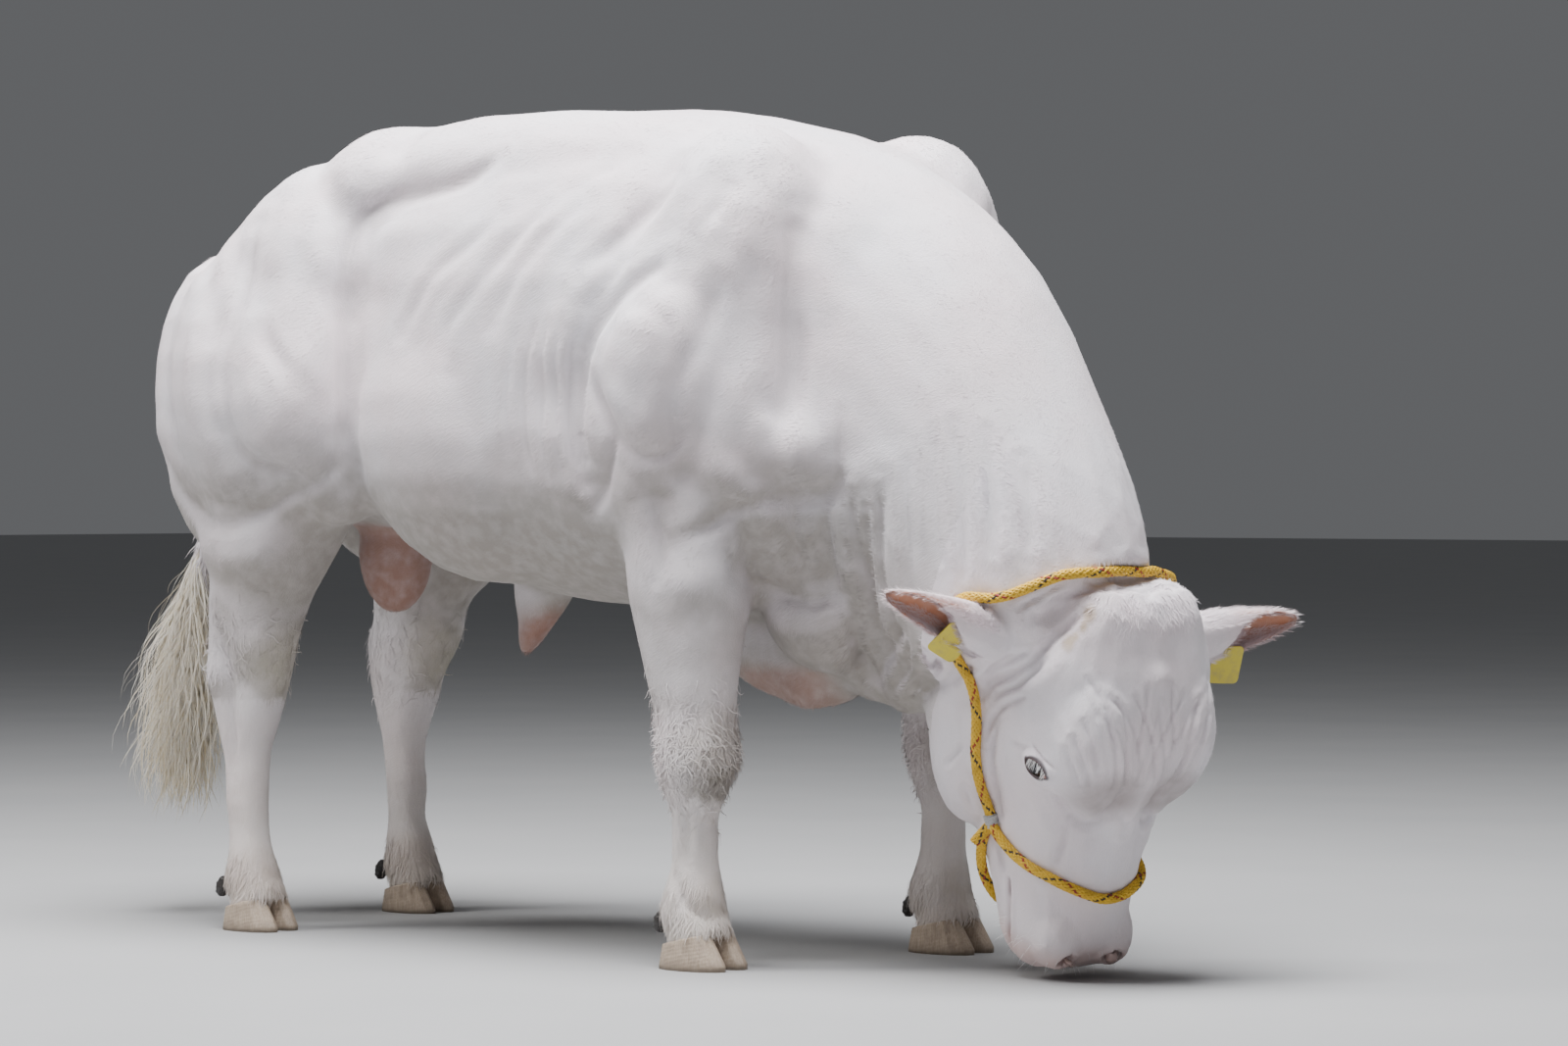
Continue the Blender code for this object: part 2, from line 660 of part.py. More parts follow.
# Regions that the fused body is parted into, as outlines in X and Z given anticlockwise
HEAD_REGION = ((0.255, -0.10), (1.20, -0.10), (1.20, 0.955), (0.735, 0.705), (0.255, 0.447))
NECK_REGION = ((0.235, 0.30), (1.20, 0.30), (1.20, 1.60), (0.12, 1.60), (0.345, 1.00), (0.345, 0.80))
KNEE_HEIGHT = 0.365
HOCK_HEIGHT = 0.475
FORE_INNER = 0.10
HIND_INNER = 0.045


def fore_region(side_name):
    shift = FORE_FOOT[side_name] * 0.75
    return (
        (-0.17 + shift, -0.10),
        (0.34, -0.10),
        (0.25, 0.60),
        (0.22, 0.645),
        (0.10 + shift * 0.5, 0.665),
        (-0.17 + shift, 0.735),
    )


def hind_region():
    return ((-1.60, -0.10), (-0.72, -0.10), (-0.74, 0.735), (-0.90, 0.70), (-1.60, 0.79))


def part_body(body, fine_head):
    nodes = {}
    room = [prism("head_room", HEAD_REGION, -0.7, 0.7, GAP)]
    neck = copy_of(body, "neck")
    boolean(neck, [prism("neck_region", NECK_REGION, -0.8, 0.8)], "INTERSECT")
    boolean(neck, room, "DIFFERENCE")
    nodes["neck"] = neck
    room.append(prism("neck_room", NECK_REGION, -0.8, 0.8, GAP))
    boolean(fine_head, [prism("head_region", HEAD_REGION, -0.7, 0.7)], "INTERSECT")
    fine_head.name = "head"
    nodes["head"] = fine_head
    for side_name, side in SIDES.items():
        plans = (
            ("foreleg", fore_region(side_name), FORE_INNER, KNEE_HEIGHT),
            ("hindleg", hind_region(), HIND_INNER, HOCK_HEIGHT),
        )
        for label, region, inner, joint in plans:
            y_low, y_high = sorted((side * inner, side * 0.8))
            leg = copy_of(body, f"{label}_{side_name}")
            boolean(leg, [prism(f"{label}_{side_name}_region", region, y_low, y_high)], "INTERSECT")
            room.append(prism(f"{label}_{side_name}_room", region, y_low, y_high, GAP))
            upper = copy_of(leg, f"{label}_{side_name}_upper")
            lower = copy_of(leg, f"{label}_{side_name}_lower")
            under = ((-3.0, -1.0), (3.0, -1.0), (3.0, joint), (-3.0, joint))
            over = ((-3.0, joint + GAP), (3.0, joint + GAP), (3.0, 3.0), (-3.0, 3.0))
            boolean(lower, [prism(f"{lower.name}_region", under, -1.0, 1.0)], "INTERSECT")
            boolean(upper, [prism(f"{upper.name}_region", over, -1.0, 1.0)], "INTERSECT")
            nodes[upper.name] = upper
            nodes[lower.name] = lower
            discard([leg])
    boolean(body, room, "DIFFERENCE")
    body.name = "torso"
    nodes["torso"] = body
    return nodes


def shift_to_middle(things):
    """Centres the whole model over the origin, and returns the move."""
    low = Vector((9.0, 9.0, 9.0))
    high = -low
    for thing in things:
        for vert in thing.data.vertices:
            for axis in range(3):
                low[axis] = min(low[axis], vert.co[axis])
                high[axis] = max(high[axis], vert.co[axis])
    move = Vector((-(low.x + high.x) / 2.0, -(low.y + high.y) / 2.0, -low.z))
    for thing in things:
        thing.data.transform(Matrix.Translation(move))
    return move


def socket(host, guests, gap=GAP):
    """Lets solids stand in a host: the host gives way to each by the gap."""
    room = [grown_copy(guest, gap) for guest in guests]
    boolean(host, room, "DIFFERENCE")
    discard(room)


def local_turn(along, up):
    """A rotation whose Z runs along one direction and whose Y is as near as can be to another."""
    z = along.normalized()
    y = (up - z * up.dot(z)).normalized()
    x = y.cross(z)
    return Matrix((x, y, z)).transposed()


def eyes_and_lids(head):
    """Eyeballs, and a slanted slit between the lids that shows them."""
    made = []
    turn = HEAD_FRAME.to_3x3()
    slits = []
    for side_name, side in SIDES.items():
        below, aside, front = EYE_PLACE
        centre = in_head(below, side * aside, front)
        ball = mass(f"eye_{side_name}", centre, (EYE_RADIUS,) * 3, look=EYE, segments=12)
        made.append(ball)
        out = turn @ Vector((0.30, side, 0.0))
        along = turn @ Vector((math.sin(EYE_SLANT), 0.0, -math.cos(EYE_SLANT)))
        frame = local_turn(along, out).to_4x4()
        length, height = EYE_SLIT
        place = centre + out.normalized() * EYE_RADIUS
        slits.append(mass(f"slit_{side_name}", place, (height, 0.024, length), frame, COAT, cutters, 12))
    boolean(head, slits, "DIFFERENCE")
    discard(slits)
    socket(head, made)
    return made


def ear_axes(side_name):
    """An ear's root and tip, the way that it opens, and the way up across it."""
    side = SIDES[side_name]
    below, aside, front = EAR_ROOT
    root = in_head(below, side * aside, front)
    below, aside, front = EAR_TIP[side_name]
    tip = in_head(below, side * aside, front)
    along = (tip - root).normalized()
    opening = EAR_OPENS[side_name]
    opening = (opening - along * opening.dot(along)).normalized()
    upward = along.cross(opening)
    if upward.z < 0.0:
        upward.negate()
    return root, tip, opening, upward


def ear_size(t):
    """Half width and half depth of an ear's section, at a part of its length."""
    for (start, *low), (end, *high) in zip(EAR_SECTIONS, EAR_SECTIONS[1:]):
        if t <= end:
            share = (t - start) / (end - start)
            return [a + (b - a) * share for a, b in zip(low, high)]
    return EAR_SECTIONS[-1][1:]


def ear(side_name):
    """A leaf-shaped ear, closed like a tube at its root, with a cup whose front rim runs back to the tip."""
    root, tip, opening, upward = ear_axes(side_name)
    rings = [
        ring(root.lerp(tip, t), upward * width, opening * depth, 2.0, sides=12)
        for t, width, depth in EAR_SECTIONS
    ]
    leaf = loft(f"ear_{side_name}", rings)
    room = grown_copy(leaf, GAP)
    rings = []
    for t, middle, half, deep in EAR_CUP:
        width, depth = ear_size(t)
        floor = -deep * depth
        mouth = 2.2 * depth
        centre = root.lerp(tip, t) + upward * width * middle + opening * (floor + mouth) / 2.0
        rings.append(ring(centre, upward * width * half, opening * (mouth - floor) / 2.0, 2.4, sides=10))
    cup = loft(f"cup_{side_name}", rings, home=cutters)
    boolean(leaf, [cup], "DIFFERENCE")
    discard([cup])
    return leaf, room


def nose_and_mouth(head):
    """Cuts the nostrils and the line of the mouth."""
    turn = HEAD_FRAME.to_3x3()
    cuts = []
    for side_name, side in SIDES.items():
        below, aside, front = NOSTRIL_PLACE
        centre = in_head(below, side * aside, front)
        frame = (turn @ Matrix.Rotation(side * 0.6, 3, "X")).to_4x4()
        radii = (NOSTRIL_RADII[2], NOSTRIL_RADII[1], NOSTRIL_RADII[0])
        cuts.append(mass(f"nostril_{side_name}", centre, radii, frame, SKIN, cutters, 12))
    route = [in_head(b, -a, f) for b, a, f in MOUTH_ROUTE]
    route += [in_head(b, a, f) for b, a, f in MOUTH_ROUTE[::-1]]
    cuts.append(tube("mouth", smooth_route(route, 0.024), 0.0045, SKIN, cutters, 6))
    boolean(head, cuts, "DIFFERENCE")
    discard(cuts)


def smooth_route(points, step):
    """Points evenly along a Catmull-Rom curve through a route."""
    count = len(points)
    dense = []
    for k in range(count - 1):
        near = [points[min(max(k + i, 0), count - 1)] for i in (-1, 0, 1, 2)]
        for j in range(12):
            dense.append(Vector([curve_value(*values, j / 12) for values in zip(*near)]))
    dense.append(Vector(points[-1]))
    lengths = [0.0]
    for a, b in zip(dense, dense[1:]):
        lengths.append(lengths[-1] + (b - a).length)
    pieces = max(3, round(lengths[-1] / step))
    even = []
    k = 0
    for j in range(pieces + 1):
        target = lengths[-1] * j / pieces
        while k < len(lengths) - 2 and lengths[k + 1] < target:
            k += 1
        span = lengths[k + 1] - lengths[k]
        even.append(dense[k].lerp(dense[k + 1], (target - lengths[k]) / span if span else 0.0))
    return even


def tube(name, route, radius, look, home=model, sides=6):
    """A round tube along a route, whose radius may be one number or one for each point."""
    count = len(route)
    rings = []
    up = Vector((0.31, 0.17, 0.93))
    for k, point in enumerate(route):
        along = (route[min(k + 1, count - 1)] - route[max(k - 1, 0)]).normalized()
        up = (up - along * up.dot(along)).normalized()
        aside = along.cross(up)
        wide = radius[k] if isinstance(radius, (list, tuple)) else radius
        rings.append([
            point + (aside * math.cos(2 * math.pi * j / sides) + up * math.sin(2 * math.pi * j / sides)) * wide
            for j in range(sides)
        ])
    return loft(name, rings, look, home)


def lay_on(route, ground, lift):
    """Moves a route's points onto a surface, with their centres a lift above it."""
    laid = [ground_point(point, ground, lift) for point in route]
    for _ in range(ROPE_PASSES):
        eased = [(a + b * 2.0 + c) / 4.0 for a, b, c in zip(laid, laid[1:], laid[2:])]
        eased = [laid[0]] + eased + [laid[-1]]
        laid = []
        for point in eased:
            near, normal, _, gap = ground.find_nearest(point)
            outside = (point - near).dot(normal) > 0.0
            laid.append(point if outside and gap >= lift else near + normal * lift)
    return smooth_route(laid, ROPE_STEP)


def surface_of(things):
    """One search tree over the faces of several solids."""
    points = []
    faces = []
    for thing in things:
        base = len(points)
        points += [v.co.copy() for v in thing.data.vertices]
        faces += [[base + i for i in face.vertices] for face in thing.data.polygons]
    return BVHTree.FromPolygons(points, faces)


def halter(head, body):
    """The rope halter: headstall, noseband and chin rope, each laid on the skin, and the clamps that join them."""
    ground = surface_of([head, body])
    lift = ROPE_RADIUS - ROPE_SINK
    below, aside, front = JUNCTION
    ends = {side: ground_point(in_head(below, side * aside, front), ground, lift) for side in (-1, 1)}
    plans = (
        ("halter_headstall", CHEEK_ROUTE + POLL_ROUTE["right"], CHEEK_ROUTE + POLL_ROUTE["left"]),
        ("halter_noseband", NOSE_ROUTE, NOSE_ROUTE[:-1]),
        ("halter_chin_rope", CHIN_ROUTE, CHIN_ROUTE[:-1]),
    )
    clamps = []
    for side_name, side in SIDES.items():
        clamps.append(mass(f"halter_clamp_{side_name}", ends[side], CLAMP_RADII, look=STEEL, segments=9))
    ropes = []
    rooms = []
    for name, right_half, left_half in plans:
        right = [in_head(b, -a, f) for b, a, f in right_half]
        left = [in_head(b, a, f) for b, a, f in left_half[::-1]]
        route = smooth_route([ends[-1]] + right + left + [ends[1]], ROPE_STEP)
        laid = lay_on(route, ground, lift)
        ropes.append(tube(name, laid, ROPE_RADIUS, ROPE))
        rooms.append(tube(f"{name}_room", laid, ROPE_RADIUS + ROPE_ROOM, ROPE, cutters))
    below, aside, front = ROPE_END
    drop = HEAD_FRAME.to_3x3() @ Vector((front, -aside, -below))
    hanging = [ends[-1] + drop * t for t in (0.0, 0.5, 1.0)]
    ropes.append(tube("halter_rope_end", hanging, ROPE_RADIUS, ROPE))
    rooms.append(tube("halter_rope_end_room", hanging, ROPE_RADIUS + ROPE_ROOM, ROPE, cutters))
    clamp_rooms = [grown_copy(clamp, GAP) for clamp in clamps]
    for k, rope in enumerate(ropes):
        boolean(rope, clamp_rooms + rooms[:k], "DIFFERENCE")
    return rooms + clamp_rooms


def ground_point(point, ground, lift):
    near, normal, _, _ = ground.find_nearest(point)
    return near + normal * lift


def claws(label, side_name, foot_x, foot_y):
    """Two claws and two dewclaws of one foot. The coronet is a sloping plane that the skin meets."""
    side = SIDES[side_name]
    length = CLAW_LENGTH[label]
    half = FOOT_WIDTH[label] / 2.0
    made = []
    for place, outward in (("outer", side), ("inner", -side)):
        middle_y = side * foot_y + outward * (half + CLEFT / 2.0) / 2.0
        wide = (half - CLEFT / 2.0) / 2.0
        rings = []
        for level, grow, back in CLAW_LEVELS:
            points = []
            for k in range(12):
                turn = 2.0 * math.pi * k / 12
                c, s = math.cos(turn), math.sin(turn)
                toe = max(0.0, c)
                ahead = 0.5 * length * math.copysign(abs(c) ** 0.85, c) * grow
                narrow = 1.0 - TOE_NARROWS * toe ** 2
                x = foot_x + CLAW_FORWARD + ahead - back * toe
                inward = -outward * TOE_TURNS_IN * toe ** 2
                y = middle_y + wide * grow * narrow * math.copysign(abs(s) ** 0.8, s) + inward
                points.append(Vector((x, y, level * coronet_height(x - foot_x))))
            rings.append(points)
        made.append(loft(f"claw_{label}_{side_name}_{place}", rings, HORN))
    for place, outward in (("outer", side), ("inner", -side)):
        x, y, z = DEWCLAW_PLACE
        centre = Vector((foot_x + x, side * foot_y + outward * y, z))
        turn = Matrix.Rotation(DEWCLAW_LEAN, 4, "Y")
        made.append(mass(f"dewclaw_{label}_{side_name}_{place}", centre, DEWCLAW_RADII, turn, DARK_HORN, segments=7))
    return made


def coronet_height(x):
    """Height of the coronet plane, x ahead of the middle of the foot."""
    slope = (CORONET_FRONT - CORONET_BACK) / (2.0 * CORONET_REACH)
    return CORONET_BACK + (x + CORONET_REACH) * slope


def trim_foot(leg, foot_x):
    """Ends the skin of a foot on the coronet plane, a gap above the claws."""
    back, front = -0.30, 0.30
    under = (
        (foot_x + back, -1.0),
        (foot_x + front, -1.0),
        (foot_x + front, coronet_height(front) + GAP),
        (foot_x + back, coronet_height(back) + GAP),
    )
    cut = prism(f"{leg.name}_sole", under, -1.0, 1.0)
    boolean(leg, [cut], "DIFFERENCE")
    discard([cut])


def tail():
    stations = spread(TAIL_ROUTE, 2)
    return tube("tail", [Vector(p[:3]) for p in stations], [p[3] for p in stations], COAT, sides=9)


def lock(name, root, tip, width, thickness, sway, phase):
    """A flat, tapered, bending lock of hair."""
    along = tip - root
    side = along.cross(Vector((math.cos(phase), math.sin(phase), 0.1))).normalized()
    face = along.cross(side).normalized()
    rings = []
    for k in range(LOCK_STEPS + 1):
        t = k / LOCK_STEPS
        aside = side * sway * math.sin(4.0 * t + phase) * t
        forth = face * sway * 0.6 * math.sin(2.4 * t + phase) * t
        centre = root + along * t + aside + forth
        full = (0.55 + 0.9 * t) if t < 0.5 else 2.0 * (1.0 - t)
        half = max(0.0012, width * 0.5 * full)
        thick = max(0.0008, thickness * 0.5 * (1.0 - 0.75 * t))
        rings.append([
            centre + side * half,
            centre + face * thick,
            centre - side * half,
            centre - face * thick,
        ])
    return loft(name, rings, HAIR)


def tail_switch():
    """The long hair at the tail's end: a slim core and overlapping locks, fused into one solid."""
    draw = random.Random(41)
    axis = SWITCH_BOTTOM - SWITCH_TOP
    core_route = [SWITCH_TOP + axis * t for t in (0.0, 0.15, 0.35, 0.55)]
    pieces = [tube("switch_core", core_route, [0.022, 0.030, 0.030, 0.010], HAIR, sides=8)]
    for k in range(SWITCH_LOCKS):
        turn = 2.399 * k
        start = 0.02 + 0.50 * (k / SWITCH_LOCKS)
        end = min(1.0, start + draw.uniform(0.42, 0.62))
        outward = Vector((math.cos(turn), math.sin(turn), 0.0))
        root = SWITCH_TOP + axis * start + outward * 0.014
        spreading = 0.030 + 0.050 * math.sin(math.pi * min(1.0, end * 0.8)) + draw.uniform(-0.012, 0.012)
        tip = SWITCH_TOP + axis * end + outward * spreading
        width = draw.uniform(*LOCK_WIDTH)
        pieces.append(lock(f"lock_{k}", root, tip, width, LOCK_THICKNESS, draw.uniform(*LOCK_SWAY), turn))
    return unite("tail_switch", pieces, HAIR)


def unite(name, pieces, look):
    """Fuses closed solids into one by a Boolean union on their collection."""
    group = bpy.data.collections.new(f"{name}_pieces")
    bpy.context.scene.collection.children.link(group)
    for piece in pieces[1:]:
        model.objects.unlink(piece)
        group.objects.link(piece)
    first = pieces[0]
    first.name = name
    join_all = first.modifiers.new("union", "BOOLEAN")
    join_all.operation = "UNION"
    join_all.operand_type = "COLLECTION"
    join_all.collection = group
    join_all.solver = "MANIFOLD"
    settle(first)
    discard(group.objects)
    bpy.data.collections.remove(group)
    first.data.materials.clear()
    first.data.materials.append(look)
    keep_largest(first)
    return first


def skin_fold():
    """The sheath, a tapered fold of skin that hangs from the belly."""
    rings = [
        ring(Vector((x, 0.0, z)), Vector((long, 0.0, 0.0)), Vector((0.0, wide, 0.0)), 2.0, sides=14)
        for x, z, long, wide in SHEATH
    ]
    return loft("sheath", rings, SKIN)


def ear_tag(side_name):
    """A blank plate that lies across the ear's cup, on a stud that is sunk in the ear."""
    root, tip, opening, upward = ear_axes(side_name)
    along = (tip - root).normalized()
    t, rise, reach = TAG_PLACE[side_name]
    lean = TAG_LEAN[side_name]
    width_way = along * math.cos(lean) + upward * math.sin(lean)
    height_way = upward * math.cos(lean) - along * math.sin(lean)
    facing = width_way.cross(height_way)
    if facing.dot(opening) < 0.0:
        facing.negate()
        width_way.negate()
    centre = root.lerp(tip, t) + upward * rise + facing * reach
    frame = Matrix((width_way, height_way, facing)).transposed().to_4x4()
    made = bmesh.new()
    bmesh.ops.create_cube(made, size=1.0)
    size = Matrix.Diagonal((*TAG_SIZE, 1.0))
    bmesh.ops.transform(made, matrix=Matrix.Translation(centre) @ frame @ size, verts=made.verts)
    plate = put(f"ear_tag_{side_name}", made, TAG)
    radius, length = TAG_STUD
    hole = centre + height_way * TAG_SIZE[1] * STUD_RISE
    stud = tube(f"stud_{side_name}", [hole + facing * STUD_HEAD, hole - facing * length], radius, TAG, sides=8)
    return unite(plate.name, [plate, stud], TAG)


body_pieces = body_masses()
head_pieces = head_masses()
body = join("body", body_pieces + head_pieces)
fine_head = join("fine_head", [p for p in body_pieces if p.name in ("neck_core", "dewlap")] + head_pieces)
discard(body_pieces + head_pieces)
fuse(body, BODY_VOXEL, BODY_PASSES, BODY_TRIANGLES, model_muscles)
fuse(fine_head, HEAD_VOXEL, HEAD_PASSES, HEAD_TRIANGLES)
halter_rooms = halter(fine_head, body)
nose_and_mouth(fine_head)
eyes_and_lids(fine_head)
tags = {side_name: ear_tag(side_name) for side_name in SIDES}
ear_rooms = []
for side_name in SIDES:
    leaf, room = ear(side_name)
    ear_rooms.append(room)
    ear_rooms.append(grown_copy(tags[side_name], GAP))
    boolean(leaf, [ear_rooms[-1], halter_rooms[0]], "DIFFERENCE", "MANIFOLD")
boolean(fine_head, ear_rooms + halter_rooms, "DIFFERENCE")
boolean(body, ear_rooms + halter_rooms[:1], "DIFFERENCE")
nodes = part_body(body, fine_head)
discard(cutters.objects)
torso = nodes["torso"]
for label, feet, track in (("fore", FORE_FOOT, TRACK_FORE), ("hind", HIND_FOOT, TRACK_HIND)):
    for side_name in SIDES:
        lower = nodes[f"{label}leg_{side_name}_lower"]
        trim_foot(lower, feet[side_name])
        parts = claws(label, side_name, feet[side_name], track)
        socket(lower, [p for p in parts if p.name.startswith("dewclaw")])
tail_bone = tail()
switch = tail_switch()
socket(switch, [tail_bone])
scrotum = mass("scrotum", Vector(SCROTUM[0]), SCROTUM[1], look=SKIN, segments=16)
sheath = skin_fold()
socket(torso, [tail_bone, scrotum, sheath])
for side_name in SIDES:
    socket(nodes[f"hindleg_{side_name}_upper"], [scrotum, sheath])
SHIFT = tuple(shift_to_middle(list(model.objects)))
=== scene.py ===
import math

import bmesh
import bpy
import numpy as np
from mathutils import Matrix, Vector
from mathutils.bvhtree import BVHTree


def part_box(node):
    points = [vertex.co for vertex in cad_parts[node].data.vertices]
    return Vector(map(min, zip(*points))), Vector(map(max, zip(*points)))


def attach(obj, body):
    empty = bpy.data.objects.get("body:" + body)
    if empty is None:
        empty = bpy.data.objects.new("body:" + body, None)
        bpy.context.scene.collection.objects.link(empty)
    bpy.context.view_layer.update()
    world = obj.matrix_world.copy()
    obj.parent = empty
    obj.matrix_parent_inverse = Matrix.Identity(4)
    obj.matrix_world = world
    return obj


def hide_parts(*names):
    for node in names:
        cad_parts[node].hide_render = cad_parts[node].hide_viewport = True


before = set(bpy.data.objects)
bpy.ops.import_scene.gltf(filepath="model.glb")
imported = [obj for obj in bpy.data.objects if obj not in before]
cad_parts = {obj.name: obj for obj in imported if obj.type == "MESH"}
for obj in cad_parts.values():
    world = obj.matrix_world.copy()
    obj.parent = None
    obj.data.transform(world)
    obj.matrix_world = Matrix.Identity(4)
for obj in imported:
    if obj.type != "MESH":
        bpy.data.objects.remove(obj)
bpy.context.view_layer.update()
scene = bpy.context.scene

# Studio
# A plain pale floor that runs far back, a broad strong lamp overhead, a smaller one high on the left, a
# weak one beside the camera, and a camera off the bull's right fore side at 0.8 m, with a long lens.
PHOTO_WIDTH = 1600
PHOTO_MIDDLE = (800.0, 533.5)
LENS_PIXELS = 4880.0
CAMERA_PLACE = Vector((5.601, -6.2855, 0.800))
CAMERA_TURN = math.radians(40.0)
CAMERA_DIP = math.radians(0.393)

lens = bpy.data.cameras.new("camera")
lens.sensor_width = 36.0
lens.lens = LENS_PIXELS / PHOTO_WIDTH * lens.sensor_width
lens.clip_end = 200.0
camera = bpy.data.objects.new("camera", lens)
camera.location = CAMERA_PLACE
camera.rotation_euler = (math.pi / 2.0 - CAMERA_DIP, 0.0, CAMERA_TURN)
scene.collection.objects.link(camera)
scene.camera = camera
camera_frame = Matrix.Translation(CAMERA_PLACE) @ camera.rotation_euler.to_matrix().to_4x4()

for label, place, size, power, colour in (
    ("key_lamp", (-3.4, -3.6, 5.2), 2.0, 260.0, (1.0, 0.99, 0.98)),
    ("sky_lamp", (0.5, -0.8, 5.4), 3.0, 860.0, (0.98, 0.98, 1.0)),
    ("fill_lamp", (6.0, -7.0, 2.0), 4.0, 16.0, (0.96, 0.97, 1.0)),
):
    lamp = bpy.data.lights.new(label, "AREA")
    lamp.size = size
    lamp.energy = power
    lamp.color = colour
    stand = bpy.data.objects.new(label, lamp)
    stand.location = place
    stand.rotation_euler = (Vector((0.0, 0.0, 0.7)) - Vector(place)).to_track_quat("-Z", "Y").to_euler()
    scene.collection.objects.link(stand)

world = bpy.data.worlds.new("studio")
world.use_nodes = True
world.node_tree.nodes["Background"].inputs["Color"].default_value = (0.88, 0.90, 0.94, 1.0)
world.node_tree.nodes["Background"].inputs["Strength"].default_value = 0.14
scene.world = world


def new_look(name, roughness, specular=0.5):
    """A material, its node tree and its shader, with the colour still to be wired."""
    look = bpy.data.materials.new(name)
    look.use_nodes = True
    shader = look.node_tree.nodes["Principled BSDF"]
    shader.inputs["Roughness"].default_value = roughness
    shader.inputs["Specular IOR Level"].default_value = specular
    return look, look.node_tree, shader


def grain(tree, scale, detail=3.0, turn=None, stretch=None):
    """Noise in a piece's own metres, turned and stretched along a grain where one is given."""
    where = tree.nodes.new("ShaderNodeTexCoord").outputs["Object"]
    if stretch is not None:
        lie = tree.nodes.new("ShaderNodeMapping")
        lie.vector_type = "TEXTURE"
        lie.inputs["Rotation"].default_value = turn or (0.0, 0.0, 0.0)
        lie.inputs["Scale"].default_value = stretch
        tree.links.new(where, lie.inputs["Vector"])
        where = lie.outputs["Vector"]
    speckle = tree.nodes.new("ShaderNodeTexNoise")
    speckle.inputs["Scale"].default_value = scale
    speckle.inputs["Detail"].default_value = detail
    tree.links.new(where, speckle.inputs["Vector"])
    return speckle.outputs["Fac"]


def between(tree, share, low, high):
    """A colour between two, by a share that varies over the piece."""
    ramp = tree.nodes.new("ShaderNodeMix")
    ramp.data_type = "RGBA"
    for socket, value in (("A", low), ("B", high)):
        slot = next(s for s in ramp.inputs if s.name == socket and s.type == "RGBA")
        if isinstance(value, tuple):
            slot.default_value = (*value, 1.0)
        else:
            tree.links.new(value, slot)
    tree.links.new(share, ramp.inputs["Factor"])
    return next(s for s in ramp.outputs if s.type == "RGBA")


def fit(tree, value, low, high, to_low=0.0, to_high=1.0):
    """A value brought from one range to another, and held within it."""
    ruler = tree.nodes.new("ShaderNodeMapRange")
    tree.links.new(value, ruler.inputs["Value"])
    for socket, number in zip(("From Min", "From Max", "To Min", "To Max"), (low, high, to_low, to_high)):
        ruler.inputs[socket].default_value = number
    return ruler.outputs["Result"]


def emboss(tree, shader, heights):
    """Bumps stacked on a shader: each a height, its distance in metres and its strength."""
    last = None
    for height, distance, strength in heights:
        bump = tree.nodes.new("ShaderNodeBump")
        bump.inputs["Distance"].default_value = distance
        bump.inputs["Strength"].default_value = strength
        tree.links.new(height, bump.inputs["Height"])
        if last is not None:
            tree.links.new(last, bump.inputs["Normal"])
        last = bump.outputs["Normal"]
    tree.links.new(last, shader.inputs["Normal"])


floor_look, tree, shader = new_look("pale_floor", 0.9)
tree.links.new(
    between(tree, grain(tree, 2.0), (0.36, 0.365, 0.37), (0.41, 0.41, 0.41)),
    shader.inputs["Base Color"],
)
made = bmesh.new()
bmesh.ops.create_grid(made, x_segments=8, y_segments=8, size=60.0)
mesh = bpy.data.meshes.new("studio_floor")
made.to_mesh(mesh)
made.free()
mesh.materials.append(floor_look)
floor = bpy.data.objects.new("studio_floor", mesh)
scene.collection.objects.link(floor)

# Hide of the body
# One white hide with short hair over the trunk, neck, legs and tail. It is drawn over the solids like
# skin over clay, eased smooth, and then given the finer creases and folds that the muscles make in it.
COAT_DEPTH = 0.0025
BODY_GRAIN = 0.0100
BODY_ROUNDS = 34
PULL = 0.5
PUSH = -0.53
# The plane behind the ears where the body's hide meets the head's: a point and its normal, to the head
COLLAR_POINT = np.array((0.71, 0.0, 0.40))
COLLAR_NORMAL = np.array((0.9104, 0.0, -0.4138))
BODY_VALLEY_LEAST = 0.0041
CREASE_REACH = 3.5
ROLL = 0.30
ROLL_GAP = 1.9
VALLEY_DEPTH = 1.3
VALLEY_BREADTH = 2.6
LEG_TOP = 0.40
FAR_LEG_AHEAD = 0.047
HEAD_BACK = 0.62
FORE_FEET = {"right": (0.349, -0.2495), "left": (0.484, 0.2505)}
HIND_FEET = {"right": (-0.736, -0.2295), "left": (-0.786, 0.2305)}
FEET = (*FORE_FEET.values(), *HIND_FEET.values())
CORONET = (0.036, 0.030 / 0.13)
CLAW_INSET = 0.006
# The swelling that each dewclaw sits on: height and reach
DEWCLAW_SEAT = (0.008, 0.032)
# Soil on the legs: how far ahead of the foot, the height, the radii, the weight and the colour
FORE_SOIL = (
    (0.05, 0.375, (0.10, 0.11, 0.090), 0.62, (0.42, 0.37, 0.31)),
    (0.05, 0.315, (0.07, 0.09, 0.045), 0.75, (0.27, 0.24, 0.20)),
    (0.04, 0.125, (0.06, 0.07, 0.05), 0.30, (0.50, 0.42, 0.32)),
)
HIND_SOIL = (
    (0.06, 0.50, (0.08, 0.09, 0.10), 0.35, (0.50, 0.46, 0.32)),
    (0.0, 0.11, (0.09, 0.09, 0.06), 0.35, (0.46, 0.36, 0.27)),
)


def shells_of(names):
    """The named solids' shells in one bmesh, with their loose triangles merged."""
    made = bmesh.new()
    for name in names:
        made.from_mesh(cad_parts[name].data)
    bmesh.ops.remove_doubles(made, verts=made.verts, dist=0.00002)
    return made


